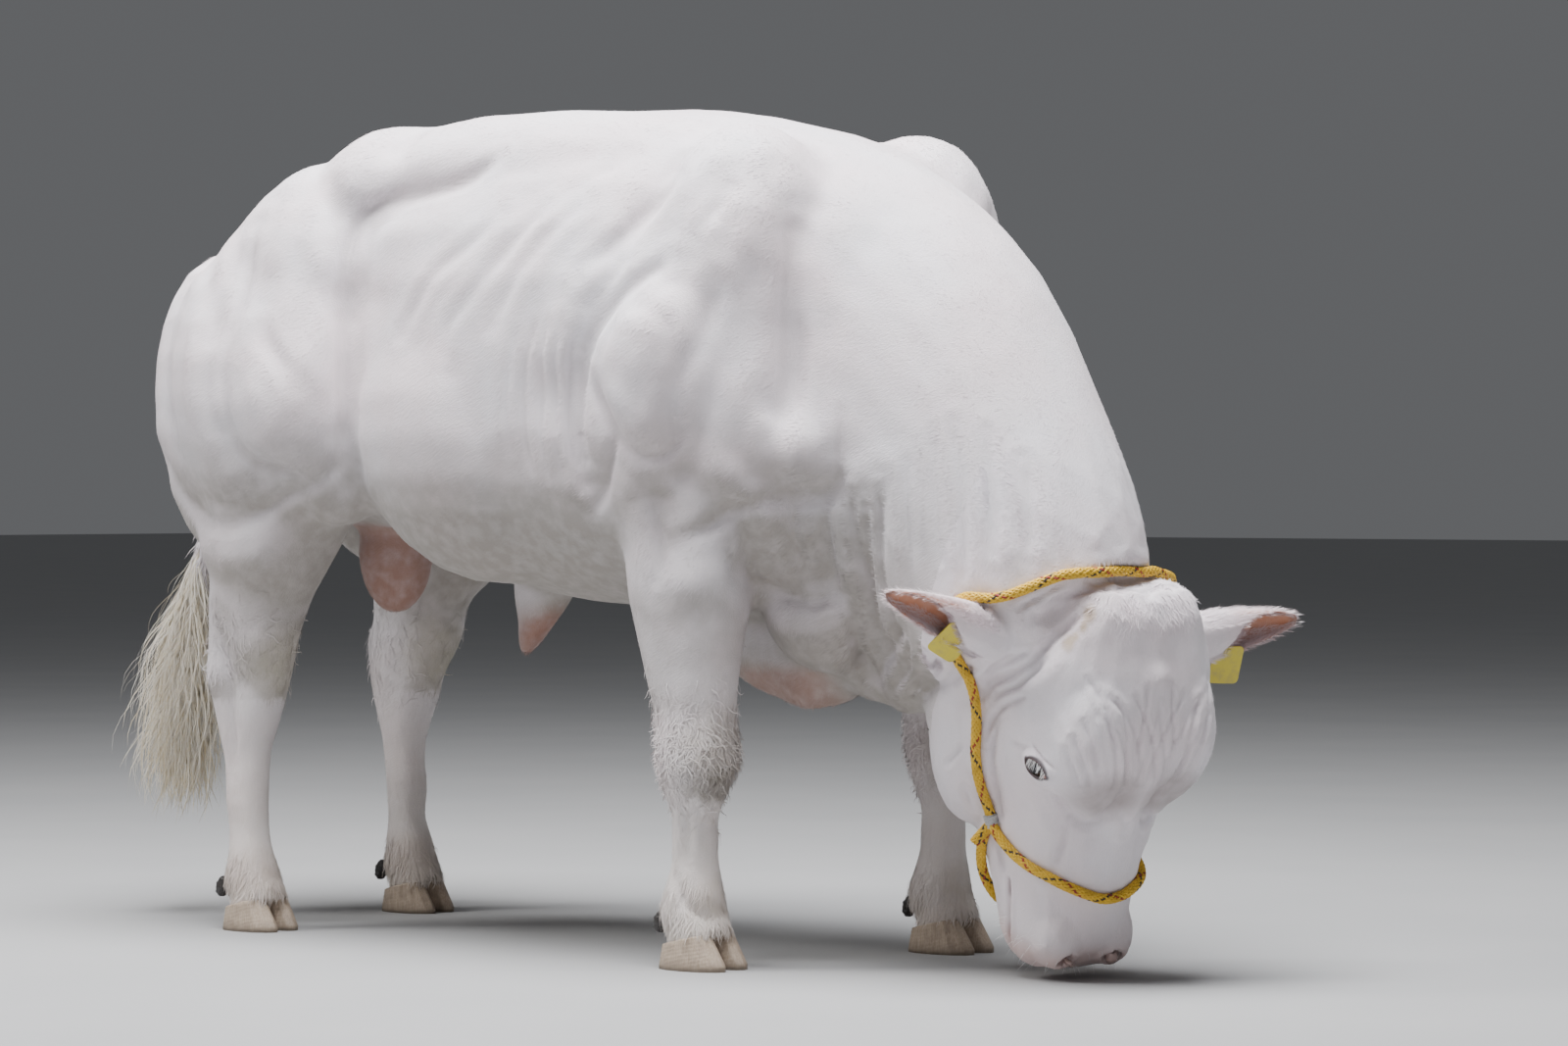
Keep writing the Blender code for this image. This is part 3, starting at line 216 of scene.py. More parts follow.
def drawn_over(name, shells, voxel):
    """One closed hide drawn over shells, at a grain in metres."""
    mesh = bpy.data.meshes.new(name)
    shells.to_mesh(mesh)
    shells.free()
    form = bpy.data.objects.new(name, mesh)
    scene.collection.objects.link(form)
    stretch = form.modifiers.new("stretch", "REMESH")
    stretch.mode = "VOXEL"
    stretch.voxel_size = voxel
    graph = bpy.context.evaluated_depsgraph_get()
    hide = bpy.data.meshes.new_from_object(form.evaluated_get(graph), depsgraph=graph)
    bpy.data.objects.remove(form, do_unlink=True)
    bpy.data.meshes.remove(mesh)
    hide.name = name
    return hide


def largest_part(made):
    """Drops every scrap, so that one surface is left."""
    unseen = set(made.verts)
    best = set()
    while unseen:
        front = [unseen.pop()]
        part = set(front)
        while front:
            for edge in front.pop().link_edges:
                for vert in edge.verts:
                    if vert in unseen:
                        unseen.discard(vert)
                        part.add(vert)
                        front.append(vert)
        if len(part) > len(best):
            best = part
    bmesh.ops.delete(made, geom=[v for v in made.verts if v not in best], context="VERTS")


def points_of(mesh):
    places = np.empty(len(mesh.vertices) * 3)
    mesh.vertices.foreach_get("co", places)
    return places.reshape(-1, 3)


def normals_of(mesh):
    normals = np.empty(len(mesh.vertices) * 3)
    mesh.vertex_normals.foreach_get("vector", normals)
    return normals.reshape(-1, 3)


def set_points(mesh, places):
    mesh.vertices.foreach_set("co", places.ravel())
    mesh.update()


def neighbours(mesh):
    pairs = np.empty(len(mesh.edges) * 2, dtype=np.int64)
    mesh.edges.foreach_get("vertices", pairs)
    return pairs.reshape(-1, 2)


def around(values, pairs):
    """The mean of each vertex's neighbours."""
    count = len(values)
    degree = np.maximum(np.bincount(pairs.ravel(), minlength=count), 1)
    total = np.empty_like(values)
    for axis in range(values.shape[1]):
        column = values[:, axis]
        total[:, axis] = np.bincount(pairs[:, 0], weights=column[pairs[:, 1]], minlength=count)
        total[:, axis] += np.bincount(pairs[:, 1], weights=column[pairs[:, 0]], minlength=count)
    return total / degree[:, None]


def eased(places, pairs, rounds, share=1.0):
    """Places smoothed without loss of size: each round pulls them together and pushes them back."""
    for _ in range(rounds):
        for pull in (PULL, PUSH):
            places = places + (around(places, pairs) - places) * (pull * share)
    return places


def step(value, low, high):
    """0 before low, 1 after high, and smooth between."""
    t = np.clip((value - low) / (high - low), 0.0, 1.0)
    return t * t * (3.0 - 2.0 * t)


def ground_of(mesh):
    """A search tree over a mesh's faces."""
    return BVHTree.FromPolygons([v.co for v in mesh.vertices], [f.vertices for f in mesh.polygons])


def seen_at(pixel, ground):
    """The place on a surface that a pixel of the photograph shows."""
    right, down = pixel[0] - PHOTO_MIDDLE[0], pixel[1] - PHOTO_MIDDLE[1]
    ray = camera_frame.to_3x3() @ Vector((right, -down, -LENS_PIXELS))
    return ground.ray_cast(CAMERA_PLACE, ray.normalized())[0]


def apart(places, path):
    """Each place's distance from a path of straight pieces."""
    nearest = np.full(len(places), 9.0)
    for start, end in zip(path, path[1:]):
        start = np.array(start)
        along = np.array(end) - start
        share = np.clip((places - start) @ along / max(along @ along, 1e-12), 0.0, 1.0)
        nearest = np.minimum(nearest, np.linalg.norm(places - start - share[:, None] * along, axis=1))
    return nearest


def rounded(path, rounds=2):
    """A path with its corners cut, so that a crease bends softly."""
    points = [np.array(p) for p in path]
    for _ in range(rounds):
        cut = [points[0]]
        for a, b in zip(points, points[1:]):
            cut += [a * 0.75 + b * 0.25, a * 0.25 + b * 0.75]
        points = cut + [points[-1]]
    return points


def creased(places, paths):
    """How far creases press a hide in, with a slight roll on both sides: depth, breadth and path each."""
    push = np.zeros(len(places))
    for depth, breadth, path in paths:
        low = np.min(path, axis=0) - CREASE_REACH * breadth
        high = np.max(path, axis=0) + CREASE_REACH * breadth
        near = np.nonzero(np.all((places > low) & (places < high), axis=1))[0]
        if not len(near):
            continue
        line = rounded(path)
        gap = apart(places[near], line) / breadth
        ends = np.minimum(
            np.linalg.norm(places[near] - line[0], axis=1), np.linalg.norm(places[near] - line[-1], axis=1)
        )
        fade = step(ends / breadth, 0.0, 3.0) * 0.75 + 0.25
        push[near] += depth * fade * (ROLL * np.exp(-((gap - ROLL_GAP) ** 2)) - np.exp(-gap * gap))
    return push


def finer(mesh, spots, rounds=1):
    """Splits a mesh's edges near spots, so that small forms fit there: each a place and its reach."""
    made = bmesh.new()
    made.from_mesh(mesh)
    for turn in range(rounds):
        places = np.array([v.co for v in made.verts])
        close = np.zeros(len(places), dtype=bool)
        for spot, reach in spots:
            close |= np.linalg.norm(places - np.array(spot), axis=1) < reach * 0.8 ** turn
        made.verts.index_update()
        edges = [e for e in made.edges if close[e.verts[0].index] and close[e.verts[1].index]]
        bmesh.ops.subdivide_edges(made, edges=edges, cuts=1, use_grid_fill=True)
    made.to_mesh(mesh)
    made.free()


def valleys_of(paths, least):
    """A broad soft valley along each crease that is deeper than a least depth."""
    deep = [crease for crease in paths if crease[0] > least]
    return [(depth * VALLEY_DEPTH, breadth * VALLEY_BREADTH, path) for depth, breadth, path in deep]


def swelled(places, swells):
    """How far muscles swell a hide out, or hollows draw it in: height, reach and middle each."""
    push = np.zeros(len(places))
    for height, reach, middle in swells:
        gap = np.linalg.norm(places - np.array(middle), axis=1) / reach
        push += height * np.exp(-((gap * 1.3) ** 2))
    return push


def seen_creases(creases, ground, mirrored):
    """Creases laid on a surface and on its other side: depth, breadth and places each."""
    paths = []
    for depth, breadth, *pixels in creases:
        near = [seen_at(pixel, ground) for pixel in pixels]
        near = [np.array(point) for point in near if point is not None]
        paths.append((depth, breadth, near))
        paths.append((depth, breadth, [np.array(mirrored(point)) for point in near]))
    return paths


def seen_swells(swells, ground, mirrored):
    """Swellings laid the same way: height, reach and middle each."""
    found = []
    for height, reach, pixel in swells:
        near = seen_at(pixel, ground)
        found += [(height, reach, near), (height, reach, mirrored(near))]
    return found


def far_side(point):
    """The same place on the bull's left side, whose fore leg stands a little further on."""
    forward = FAR_LEG_AHEAD * min(1.0, max(0.0, (point[0] + 0.10) / 0.35))
    return np.array((point[0] + forward, -point[1], point[2]))


# Where the right side is wrinkled finely: the ribs behind the arm, and the throat under the ear
FINE_SPOTS = (((560, 410), 0.110), ((905, 650), 0.125), ((884, 560), 0.090))
# Swellings and hollows of the right side: height, reach, and the middle that the photograph shows
BODY_SWELLS = (
    (0.010, 0.15, (200, 390)),
    (0.014, 0.08, (316, 180)),
    (0.016, 0.13, (290, 400)),
    (0.010, 0.13, (715, 176)),
    (0.018, 0.13, (664, 350)),
    (0.008, 0.07, (660, 440)),
    (0.008, 0.05, (652, 512)),
    (0.007, 0.05, (706, 596)),
    (0.013, 0.075, (822, 456)),
    (0.010, 0.17, (430, 440)),
    (-0.010, 0.08, (384, 300)),
    (-0.012, 0.07, (560, 400)),
    (-0.008, 0.07, (790, 330)),
    (-0.008, 0.06, (778, 560)),
    (0.013, 0.045, (221, 688)),
    (0.006, 0.050, (262, 660)),
    (-0.005, 0.040, (244, 700)),
    (0.006, 0.045, (712, 770)),
    (0.005, 0.040, (724, 918)),
    (0.020, 0.055, (822, 706)),
)
# Creases of the right side: depth and breadth in metres, then where the photograph shows them
BODY_CREASES = (
    (
        0.0055, 0.013, (509, 159), (484, 179), (452, 192), (411, 200), (382, 210), (362, 228), (354, 257),
        (352, 300),
    ),
    (0.0046, 0.013, (352, 300), (350, 371), (348, 440), (346, 470)),
    (0.0036, 0.0143, (558, 212), (529, 240), (500, 273), (476, 306), (456, 330), (454, 355)),
    (0.0036, 0.0143, (509, 220), (476, 253), (447, 273), (431, 298), (411, 338)),
    (0.0039, 0.0154, (600, 206), (560, 236), (540, 262), (516, 300), (504, 330)),
    (0.0034, 0.0176, (640, 160), (606, 180), (580, 205)),
    (0.0044, 0.020, (443, 130), (411, 147), (390, 163), (384, 175)),
    (0.0050, 0.015, (264, 228), (252, 273), (246, 306), (232, 342), (227, 379), (236, 428), (248, 457)),
    (0.0050, 0.014, (248, 457), (260, 473), (284, 477), (321, 493)),
    (0.0039, 0.016, (268, 338), (293, 375), (305, 391)),
    (
        0.0050, 0.013, (174, 477), (187, 510), (207, 534), (236, 538), (268, 522), (293, 505), (329, 489),
        (346, 469),
    ),
    (0.0028, 0.007, (528, 335), (517, 380), (516, 430), (522, 462)),
    (0.0034, 0.007, (546, 330), (534, 378), (534, 435), (544, 480)),
    (0.0034, 0.007, (561, 325), (550, 376), (551, 438), (562, 490)),
    (0.0034, 0.007, (575, 322), (564, 372), (565, 432), (577, 494)),
    (0.0034, 0.007, (590, 330), (578, 378), (578, 440), (590, 500)),
    (0.0055, 0.016, (694, 184), (670, 212), (626, 248), (594, 276)),
    (0.0050, 0.012, (746, 196), (730, 216), (714, 240)),
    (
        0.0068, 0.014, (686, 264), (646, 288), (622, 316), (602, 348), (592, 376), (590, 408), (592, 452),
        (602, 488),
    ),
    (0.0034, 0.015, (646, 312), (674, 324), (686, 340), (682, 360), (670, 380)),
    (0.0055, 0.012, (602, 384), (614, 408), (626, 428)),
    (0.0055, 0.010, (630, 436), (626, 464), (614, 504), (606, 524)),
    (0.0053, 0.011, (626, 432), (646, 464), (670, 468), (686, 460), (694, 436)),
    (0.0054, 0.017, (730, 288), (714, 344), (694, 376), (686, 416), (682, 456)),
    (0.0068, 0.017, (810, 240), (804, 290), (808, 344), (809, 392), (798, 424), (790, 452)),
    (0.0042, 0.016, (790, 452), (794, 480), (810, 500), (834, 508), (858, 492)),
    (0.0053, 0.013, (690, 552), (714, 544), (746, 520), (778, 512), (810, 510)),
    (0.0050, 0.010, (670, 524), (678, 560), (672, 590)),
    (0.0055, 0.012, (746, 520), (762, 552), (766, 584), (770, 600)),
    (0.0057, 0.010, (766, 584), (778, 600), (810, 612), (834, 616), (854, 608)),
    (0.0050, 0.008, (810, 516), (814, 560), (830, 600)),
    (0.0055, 0.008, (842, 512), (846, 560), (854, 600)),
    (0.0066, 0.009, (870, 504), (874, 560), (886, 608), (900, 650)),
    (0.0080, 0.009, (884, 520), (884, 593), (893, 624), (911, 667)),
    (0.0080, 0.009, (900, 500), (900, 600), (911, 633), (918, 660)),
    (0.0040, 0.009, (925, 470), (927, 540), (928, 593), (932, 612)),
    (0.0031, 0.009, (950, 440), (954, 500), (958, 570)),
    (0.0047, 0.010, (868, 640), (884, 680), (902, 712)),
    (0.0060, 0.009, (694, 812), (699, 845), (702, 880)),
    (0.0036, 0.010, (858, 420), (862, 500), (866, 570)),
    (0.0040, 0.010, (972, 430), (982, 490), (986, 560), (984, 600)),
    (0.0034, 0.011, (1006, 440), (1014, 500), (1016, 560)),
    (0.0030, 0.012, (1046, 470), (1052, 520), (1052, 570)),
    (0.0048, 0.010, (925, 640), (905, 668), (893, 700)),
    (0.0056, 0.0080, (927, 652), (929, 676), (920, 693), (913, 704)),
    (0.0060, 0.0080, (944, 664), (944, 684), (936, 698), (929, 716)),
    (0.0060, 0.0075, (960, 672), (953, 684), (947, 698), (940, 708)),
    (0.0056, 0.0070, (978, 674), (967, 689), (956, 702), (944, 709), (936, 722)),
    (0.0050, 0.0070, (998, 678), (984, 684), (971, 698), (958, 706)),
    (0.0046, 0.0080, (872, 620), (876, 660), (886, 690), (900, 704)),
    (0.0060, 0.0090, (222, 634), (231, 676), (236, 730), (238, 792)),
    (0.0045, 0.0080, (690, 892), (700, 922), (722, 938), (742, 926)),
)

UNDER_HIDE = ("torso", "neck", "head", "foreleg", "hindleg", "claw")
hide_names = [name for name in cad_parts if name.startswith(UNDER_HIDE)]
hide_names += ["tail", "scrotum", "sheath"]
body_mesh = drawn_over("body_hide", shells_of(hide_names), BODY_GRAIN)
made = bmesh.new()
made.from_mesh(body_mesh)
largest_part(made)
made.to_mesh(body_mesh)
made.free()
pairs = neighbours(body_mesh)
places = eased(points_of(body_mesh), pairs, BODY_ROUNDS)
set_points(body_mesh, places)
places -= normals_of(body_mesh) * COAT_DEPTH
set_points(body_mesh, places)
smooth_body = ground_of(body_mesh)
spots = []
for pixel, reach in FINE_SPOTS:
    near = seen_at(pixel, smooth_body)
    spots += [(near, reach), (far_side(near), reach)]
finer(body_mesh, spots)
pairs = neighbours(body_mesh)
places = points_of(body_mesh)


def other_flank(point):
    """The same place on the other side of the body, on its hide."""
    return smooth_body.find_nearest(Vector(far_side(point)))[0]


paths = seen_creases(BODY_CREASES, smooth_body, other_flank)
swells = seen_swells(BODY_SWELLS, smooth_body, other_flank)
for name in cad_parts:
    if name.startswith("dewclaw"):
        low, high = (Vector(corner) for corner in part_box(name))
        swells.append((*DEWCLAW_SEAT, smooth_body.find_nearest((low + high) / 2.0)[0]))
paths += valleys_of(paths, BODY_VALLEY_LEAST)
normals = normals_of(body_mesh)
places = places + normals * (creased(places, paths) + swelled(places, swells))[:, None]


def coronet_gap(places, foot):
    """Height above the sloping line where hair gives way to horn, at one foot."""
    low, slope = CORONET
    return places[:, 2] - low - (places[:, 0] - foot[0] + 0.065) * slope


# Inside the claws the hide draws in, so that the horn stands proud of it
set_points(body_mesh, places)
normals = normals_of(body_mesh)
for foot in FEET:
    at_foot = (np.hypot(places[:, 0] - foot[0], places[:, 1] - foot[1]) < 0.12) & (places[:, 2] < 0.12)
    inside = step(-coronet_gap(places, foot), -0.004, 0.004) * at_foot
    places = places - normals * (inside * CLAW_INSET)[:, None]
set_points(body_mesh, places)


def hollows_of(places, normals, pairs, rounds, reach):
    """How deep each place lies below its surroundings, as a share of a reach in metres."""
    level = places
    for _ in range(rounds):
        level = around(level, pairs)
    return np.clip(np.sum((level - places) * normals, axis=1) / reach, -1.0, 1.0)


def dab(marks, weight, colour):
    """Lays a colour over the markings and painted shade laid so far, as thickly as its weight at each place.
    """
    weight = np.clip(weight, 0.0, 1.0)[:, None]
    share = weight + marks[:, 3:] * (1.0 - weight)
    under = marks[:, :3] * marks[:, 3:] * (1.0 - weight)
    mixed = (np.array(colour) * weight + under) / np.maximum(share, 1e-6)
    marks[:, :3] = np.where(share > 1e-6, mixed, marks[:, :3])
    marks[:, 3:] = share


def near_to(places, centre, radii):
    """1 at a centre, and 0 at the edge of an oval round it."""
    return step(-np.linalg.norm((places - np.array(centre)) / np.array(radii), axis=1), -1.0, -0.35)


def keep_tones(mesh, marks, hollow):
    """Keeps the markings with their painted shade, and the hollows, on the mesh, where its material reads
    them.
    """
    colours = mesh.attributes.new("marking_and_shade", "FLOAT_COLOR", "POINT")
    colours.data.foreach_set("color", marks.astype(np.float32).ravel())
    depths = mesh.attributes.new("hollow", "FLOAT", "POINT")
    depths.data.foreach_set("value", hollow.astype(np.float32))


normals = normals_of(body_mesh)
small_hollows = hollows_of(places, normals, pairs, 12, 0.0022)
hollow = 0.6 * small_hollows + 0.4 * hollows_of(places, normals, pairs, 60, 0.008)
marks = np.zeros((len(places), 4))
x, y, z = places.T
# Painted shade under the trunk: its downward-facing underside is darkened olive-brown
under = step(-normals[:, 2], 0.05, 0.75)
dab(marks, under * step(-z, -0.86, -0.62) * step(-x, -0.30, -0.05) * (z > 0.42) * 0.50, (0.46, 0.40, 0.30))
# Painted shade: the hide greys towards the bottom, where less of the light from above falls, in two layers
dab(marks, step(-z, -1.00, -0.55) * 0.28, (0.50, 0.48, 0.47))
dab(marks, step(-z, -1.00, -0.62) * step(z, 0.36, 0.50) * 0.20, (0.42, 0.40, 0.39))
# Painted shade under the belly: its downward-facing underside is darkened most
belly = step(-normals[:, 2], -0.10, 0.55) * step(-z, -1.00, -0.75) * (z > 0.42)
dab(marks, belly * 0.82, (0.28, 0.255, 0.22))
dab(marks, step(-z, -0.60, -0.10) * 0.30, (0.66, 0.58, 0.42))
dab(marks, step(-z, -0.14, -0.05) * 0.25, (0.62, 0.52, 0.36))
for feet, soil in ((FORE_FEET, FORE_SOIL), (HIND_FEET, HIND_SOIL)):
    for foot in feet.values():
        for ahead, height, radii, weight, colour in soil:
            dab(marks, near_to(places, (foot[0] + ahead, foot[1], height), radii) * weight, colour)
for name, drop, width in (("scrotum", 0.015, 0.95), ("sheath", 0.045, 0.62)):
    low, high = (np.array(corner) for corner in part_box(name))
    middle = (low + high) / 2.0 - np.array((0.0, 0.0, drop))
    dab(marks, near_to(places, middle, (high - low) * width + 0.01), (0.33, 0.185, 0.145))
brisket = step(-z, -0.515, -0.480) * step(x, 0.20, 0.30) * step(-x, -0.50, -0.42)
brisket = brisket * step(-np.abs(y), -0.18, -0.13)
dab(marks, brisket * 0.90, (0.40, 0.26, 0.215))
keep_tones(body_mesh, marks, hollow)

# Hide of the head
# The same hide, finer, over the face, ears, cheeks and throat, behind a collar line. It takes the small
# folds: the brow's long wrinkles, the puckers under the ear, the lids, the lips and the nostrils.
HEAD_GRAIN = 0.0045
HEAD_ROUNDS = 16
HEAD_VALLEY_LEAST = 0.0046
HEAD_FRAME = (
    Matrix.Translation((0.785 + 0.34904, -0.040 + 0.00041, 0.602))
    @ Matrix.Rotation(math.radians(-15.0), 4, "Z")
    @ Matrix.Rotation(math.radians(16.0), 4, "Y")
    @ Matrix.Rotation(math.radians(1.0), 4, "X")
)
TO_HEAD = HEAD_FRAME.inverted()
EYE_PLACE = (0.265, 0.143, -0.042)
EYE_RADIUS = 0.0200
LID_RADIUS = 0.0228
LID_FLOW = 0.0030
EYE_SLANT = math.radians(68.0)
SLIT_HALF = 0.0240
SLIT_ABOVE = 0.0115
SLIT_BELOW = 0.0125
SIDES = {"right": -1.0, "left": 1.0}
NOSTRIL_PLACE = (0.590, 0.052, -0.018)
MOUTH_ROUTE = (
    (0.490, 0.100, -0.126),
    (0.530, 0.104, -0.118),
    (0.570, 0.100, -0.112),
    (0.605, 0.083, -0.108),
    (0.628, 0.045, -0.104),
    (0.632, 0.000, -0.103),
)
# Swellings and hollows of the face: height, reach, and the middle that the photograph shows
HEAD_SWELLS = (
    (0.007, 0.085, (1130, 775)),
    (-0.008, 0.050, (1166, 668)),
    (0.004, 0.024, (1184, 690)),
    (-0.005, 0.040, (986, 700)),
    (-0.007, 0.036, (1114, 858)),
    (-0.006, 0.040, (1048, 725)),
    (0.004, 0.035, (1086, 690)),
)
# Creases of the face and throat on the right side: depth, breadth, and where the photograph shows them
HEAD_CREASES = (
    (0.0029, 0.0046, (1110, 692), (1120, 708), (1128, 724), (1132, 740), (1136, 760)),
    (0.0036, 0.0046, (1106, 736), (1112, 752), (1118, 768), (1120, 786)),
    (0.0040, 0.0046, (1096, 752), (1104, 772), (1110, 788), (1110, 804)),
    (0.0036, 0.0046, (1086, 764), (1096, 780), (1100, 798)),
    (0.0032, 0.0046, (1128, 736), (1136, 756), (1138, 780), (1136, 800)),
    (0.0036, 0.0046, (1140, 716), (1148, 740), (1148, 760), (1147, 780), (1147, 804)),
    (0.0038, 0.0045, (1172, 700), (1170, 724), (1165, 744), (1160, 764)),
    (0.0024, 0.0041, (1184, 720), (1180, 738), (1174, 756), (1164, 780), (1160, 798)),
    (0.0031, 0.0045, (1208, 708), (1196, 732), (1184, 756), (1174, 780), (1168, 798)),
    (0.0027, 0.0059, (1232, 702), (1218, 720), (1208, 740), (1196, 760), (1188, 780)),
    (0.0026, 0.0045, (1236, 722), (1224, 740), (1212, 762), (1200, 784)),
    (
        0.0072, 0.0085, (1080, 816), (1088, 830), (1100, 838), (1112, 844), (1128, 838), (1140, 822),
        (1147, 808),
    ),
    (0.0043, 0.0070, (1148, 848), (1152, 838), (1166, 826)),
    (0.0058, 0.0070, (1086, 836), (1084, 856), (1078, 876)),
    (0.0052, 0.0065, (1004, 692), (1022, 678), (1040, 668), (1054, 664)),
    (0.0061, 0.0070, (1012, 696), (1036, 686), (1056, 672), (1070, 656), (1088, 638), (1104, 626)),
    (0.0054, 0.0050, (1018, 708), (1040, 698), (1058, 684), (1066, 672)),
    (0.0047, 0.0050, (1020, 724), (1032, 716), (1048, 710)),
    (0.0047, 0.0050, (1006, 752), (1012, 732), (1022, 722)),
    (0.0047, 0.0050, (1014, 800), (1011, 768), (1016, 742)),
    (0.0047, 0.0050, (1022, 832), (1016, 812), (1013, 792)),
    (0.0044, 0.0050, (1033, 758), (1042, 763), (1050, 766)),
    (0.0041, 0.0065, (1066, 614), (1090, 606), (1120, 602), (1140, 602)),
    (0.0040, 0.0050, (1108, 592), (1120, 598), (1140, 596)),
    (0.0043, 0.0065, (1168, 608), (1180, 598), (1194, 602)),
    (0.0044, 0.0050, (1040, 620), (1062, 608), (1086, 594)),
    (0.0040, 0.0050, (982, 762), (974, 772), (966, 780)),
    (0.0038, 0.0065, (984, 804), (987, 814), (990, 824)),
    (0.0049, 0.0070, (1066, 806), (1078, 818), (1086, 834)),
)

head_names = ["head", "neck", "torso", "ear_right", "ear_left", "eye_right", "eye_left"]
head_mesh = drawn_over("head_hide", shells_of(head_names), HEAD_GRAIN)


def past_collar(places):
    """How far places lie past the collar plane, towards the head."""
    return (places - COLLAR_POINT) @ COLLAR_NORMAL


def of_head(places):
    """Places in the head's own frame: below the poll, out to the left, and front."""
    flat = np.c_[places, np.ones(len(places))] @ np.array(TO_HEAD).T
    return -flat[:, 2], flat[:, 1], flat[:, 0]


def in_head(below, out, front):
    return HEAD_FRAME @ Vector((front, out, -below))


places = points_of(head_mesh)
made = bmesh.new()
made.from_mesh(head_mesh)
made.verts.ensure_lookup_table()
away = past_collar(places) < -0.05
bmesh.ops.delete(made, geom=[made.verts[i] for i in np.nonzero(away)[0]], context="VERTS")
largest_part(made)
made.to_mesh(head_mesh)
made.free()

pairs = neighbours(head_mesh)
places = eased(points_of(head_mesh), pairs, HEAD_ROUNDS)
set_points(head_mesh, places)
for side in SIDES.values():
    spot = in_head(EYE_PLACE[0], side * EYE_PLACE[1], EYE_PLACE[2])
    around_eye = step(-np.linalg.norm(places - np.array(spot), axis=1), -0.055, -0.030)[:, None]
    for _ in range(30):
        places = places + (around(places, pairs) - places) * 0.5 * around_eye
set_points(head_mesh, places)

finer(head_mesh, [(in_head(0.225, side * 0.050, 0.045), 0.090) for side in SIDES.values()])
eye_out = EYE_PLACE[1] + 0.012
spots = [(in_head(EYE_PLACE[0], side * eye_out, EYE_PLACE[2]), 0.050) for side in SIDES.values()]
finer(head_mesh, spots, 2)
spots = []
for side in SIDES.values():
    spots.append((in_head(NOSTRIL_PLACE[0], side * NOSTRIL_PLACE[1], NOSTRIL_PLACE[2]), 0.055))
    spots += [(in_head(b, side * o, f), 0.028) for b, o, f in MOUTH_ROUTE]
finer(head_mesh, spots)
pairs = neighbours(head_mesh)
places = points_of(head_mesh)
normals = normals_of(head_mesh)
places -= normals * (COAT_DEPTH * 0.8)


def onto(places, ground, share):
    """Places brought onto another surface, by a share of the way each."""
    places = places.copy()
    for k in np.nonzero(share > 0.0)[0]:
        near = ground.find_nearest(Vector(places[k]))[0]
        places[k] += (np.array(near) - places[k]) * share[k]
    return places


below, out, front = of_head(places)
in_ear = (np.abs(out) > 0.15) & (below < 0.16)
collar_share = step(-past_collar(places), -0.075, -0.010) * ~in_ear
places = onto(places, smooth_body, collar_share)
set_points(head_mesh, places)

ground = ground_of(head_mesh)


def other_cheek(point):
    """The same place on the other side of the face."""
    local = TO_HEAD @ Vector(point)
    local.y = -local.y
    return ground.find_nearest(HEAD_FRAME @ local)[0]


paths_here = seen_creases(HEAD_CREASES, ground, other_cheek)
swells_here = seen_swells(HEAD_SWELLS, ground, other_cheek)
paths_here += valleys_of(paths_here, HEAD_VALLEY_LEAST)
normals = normals_of(head_mesh)
push = creased(places, paths_here) + creased(places, paths)
push += swelled(places, swells_here)
places = places + normals * push[:, None]
places = onto(places, ground_of(body_mesh), step(-past_collar(places), -0.030, -0.006) * ~in_ear)
set_points(head_mesh, places)

# Lids: a dome over each eyeball with a slanting slit, a rim, and the fold that runs over the upper lid
marks = np.zeros((len(places), 4))
turn_head = np.array(HEAD_FRAME.to_3x3())
for side in SIDES.values():
    centre = np.array(in_head(EYE_PLACE[0], side * EYE_PLACE[1], EYE_PLACE[2]))
    outward = turn_head @ np.array((0.30, side, 0.0))
    outward /= np.linalg.norm(outward)
    along = turn_head @ np.array((math.sin(EYE_SLANT), 0.0, -math.cos(EYE_SLANT)))
    along -= outward * (along @ outward)
    along /= np.linalg.norm(along)
    above = np.cross(outward, along)
    above *= np.sign(above @ (turn_head @ np.array((math.cos(EYE_SLANT), 0.0, math.sin(EYE_SLANT)))))
    offset = places - centre
    u, v, w = offset @ along, offset @ above, offset @ outward
    close = (np.hypot(u, v) < 0.050) & (w > -0.010)
    reach = np.hypot(u * 0.62, v)
    dome = np.sqrt(np.clip(LID_RADIUS ** 2 - np.minimum(reach, LID_RADIUS * 0.8) ** 2, 0.0, None))
    dome -= np.maximum(reach - LID_RADIUS * 0.8, 0.0) * 1.33
    flow = np.clip((dome - w) / LID_FLOW, -30.0, 30.0)
    share = step(-np.hypot(u, v), -0.046, -0.034) * (w > -0.010)
    lifted = w + LID_FLOW * np.log1p(np.exp(flow)) * share
    arch = np.clip(1.0 - (u / SLIT_HALF) ** 2, 0.0, None)
    upper = v - SLIT_ABOVE * arch ** 0.75
    lower = -v - SLIT_BELOW * arch ** 0.75
    outside = np.maximum(upper, lower)
    outside = np.where(np.abs(u) < SLIT_HALF, outside, np.hypot(np.abs(u) - SLIT_HALF, v))
    rim = np.exp(-(((outside - 0.0022) / 0.0016) ** 2)) * 0.0012
    fold_up = np.exp(-(((v - 0.0185 - 0.10 * np.abs(u)) / 0.0030) ** 2)) * step(-np.abs(u), -0.034, -0.020)
    fold_low = np.exp(-(((v + 0.0190) / 0.0030) ** 2)) * step(-np.abs(u), -0.026, -0.012)
    lifted += (rim - 0.0030 * fold_up - 0.0016 * fold_low) * close
    sink = step(-outside, 0.0002, 0.0022) * close
    lifted -= sink * 0.0170
    places = places + outward * (lifted - w)[:, None] * close[:, None]
    dab(marks, step(-outside, -0.0066, -0.0030) * close, (0.050, 0.040, 0.045))
    # Painted shade in the fold over the upper lid
    dab(marks, fold_up * close * 0.30, (0.30, 0.24, 0.25))
set_points(head_mesh, places)
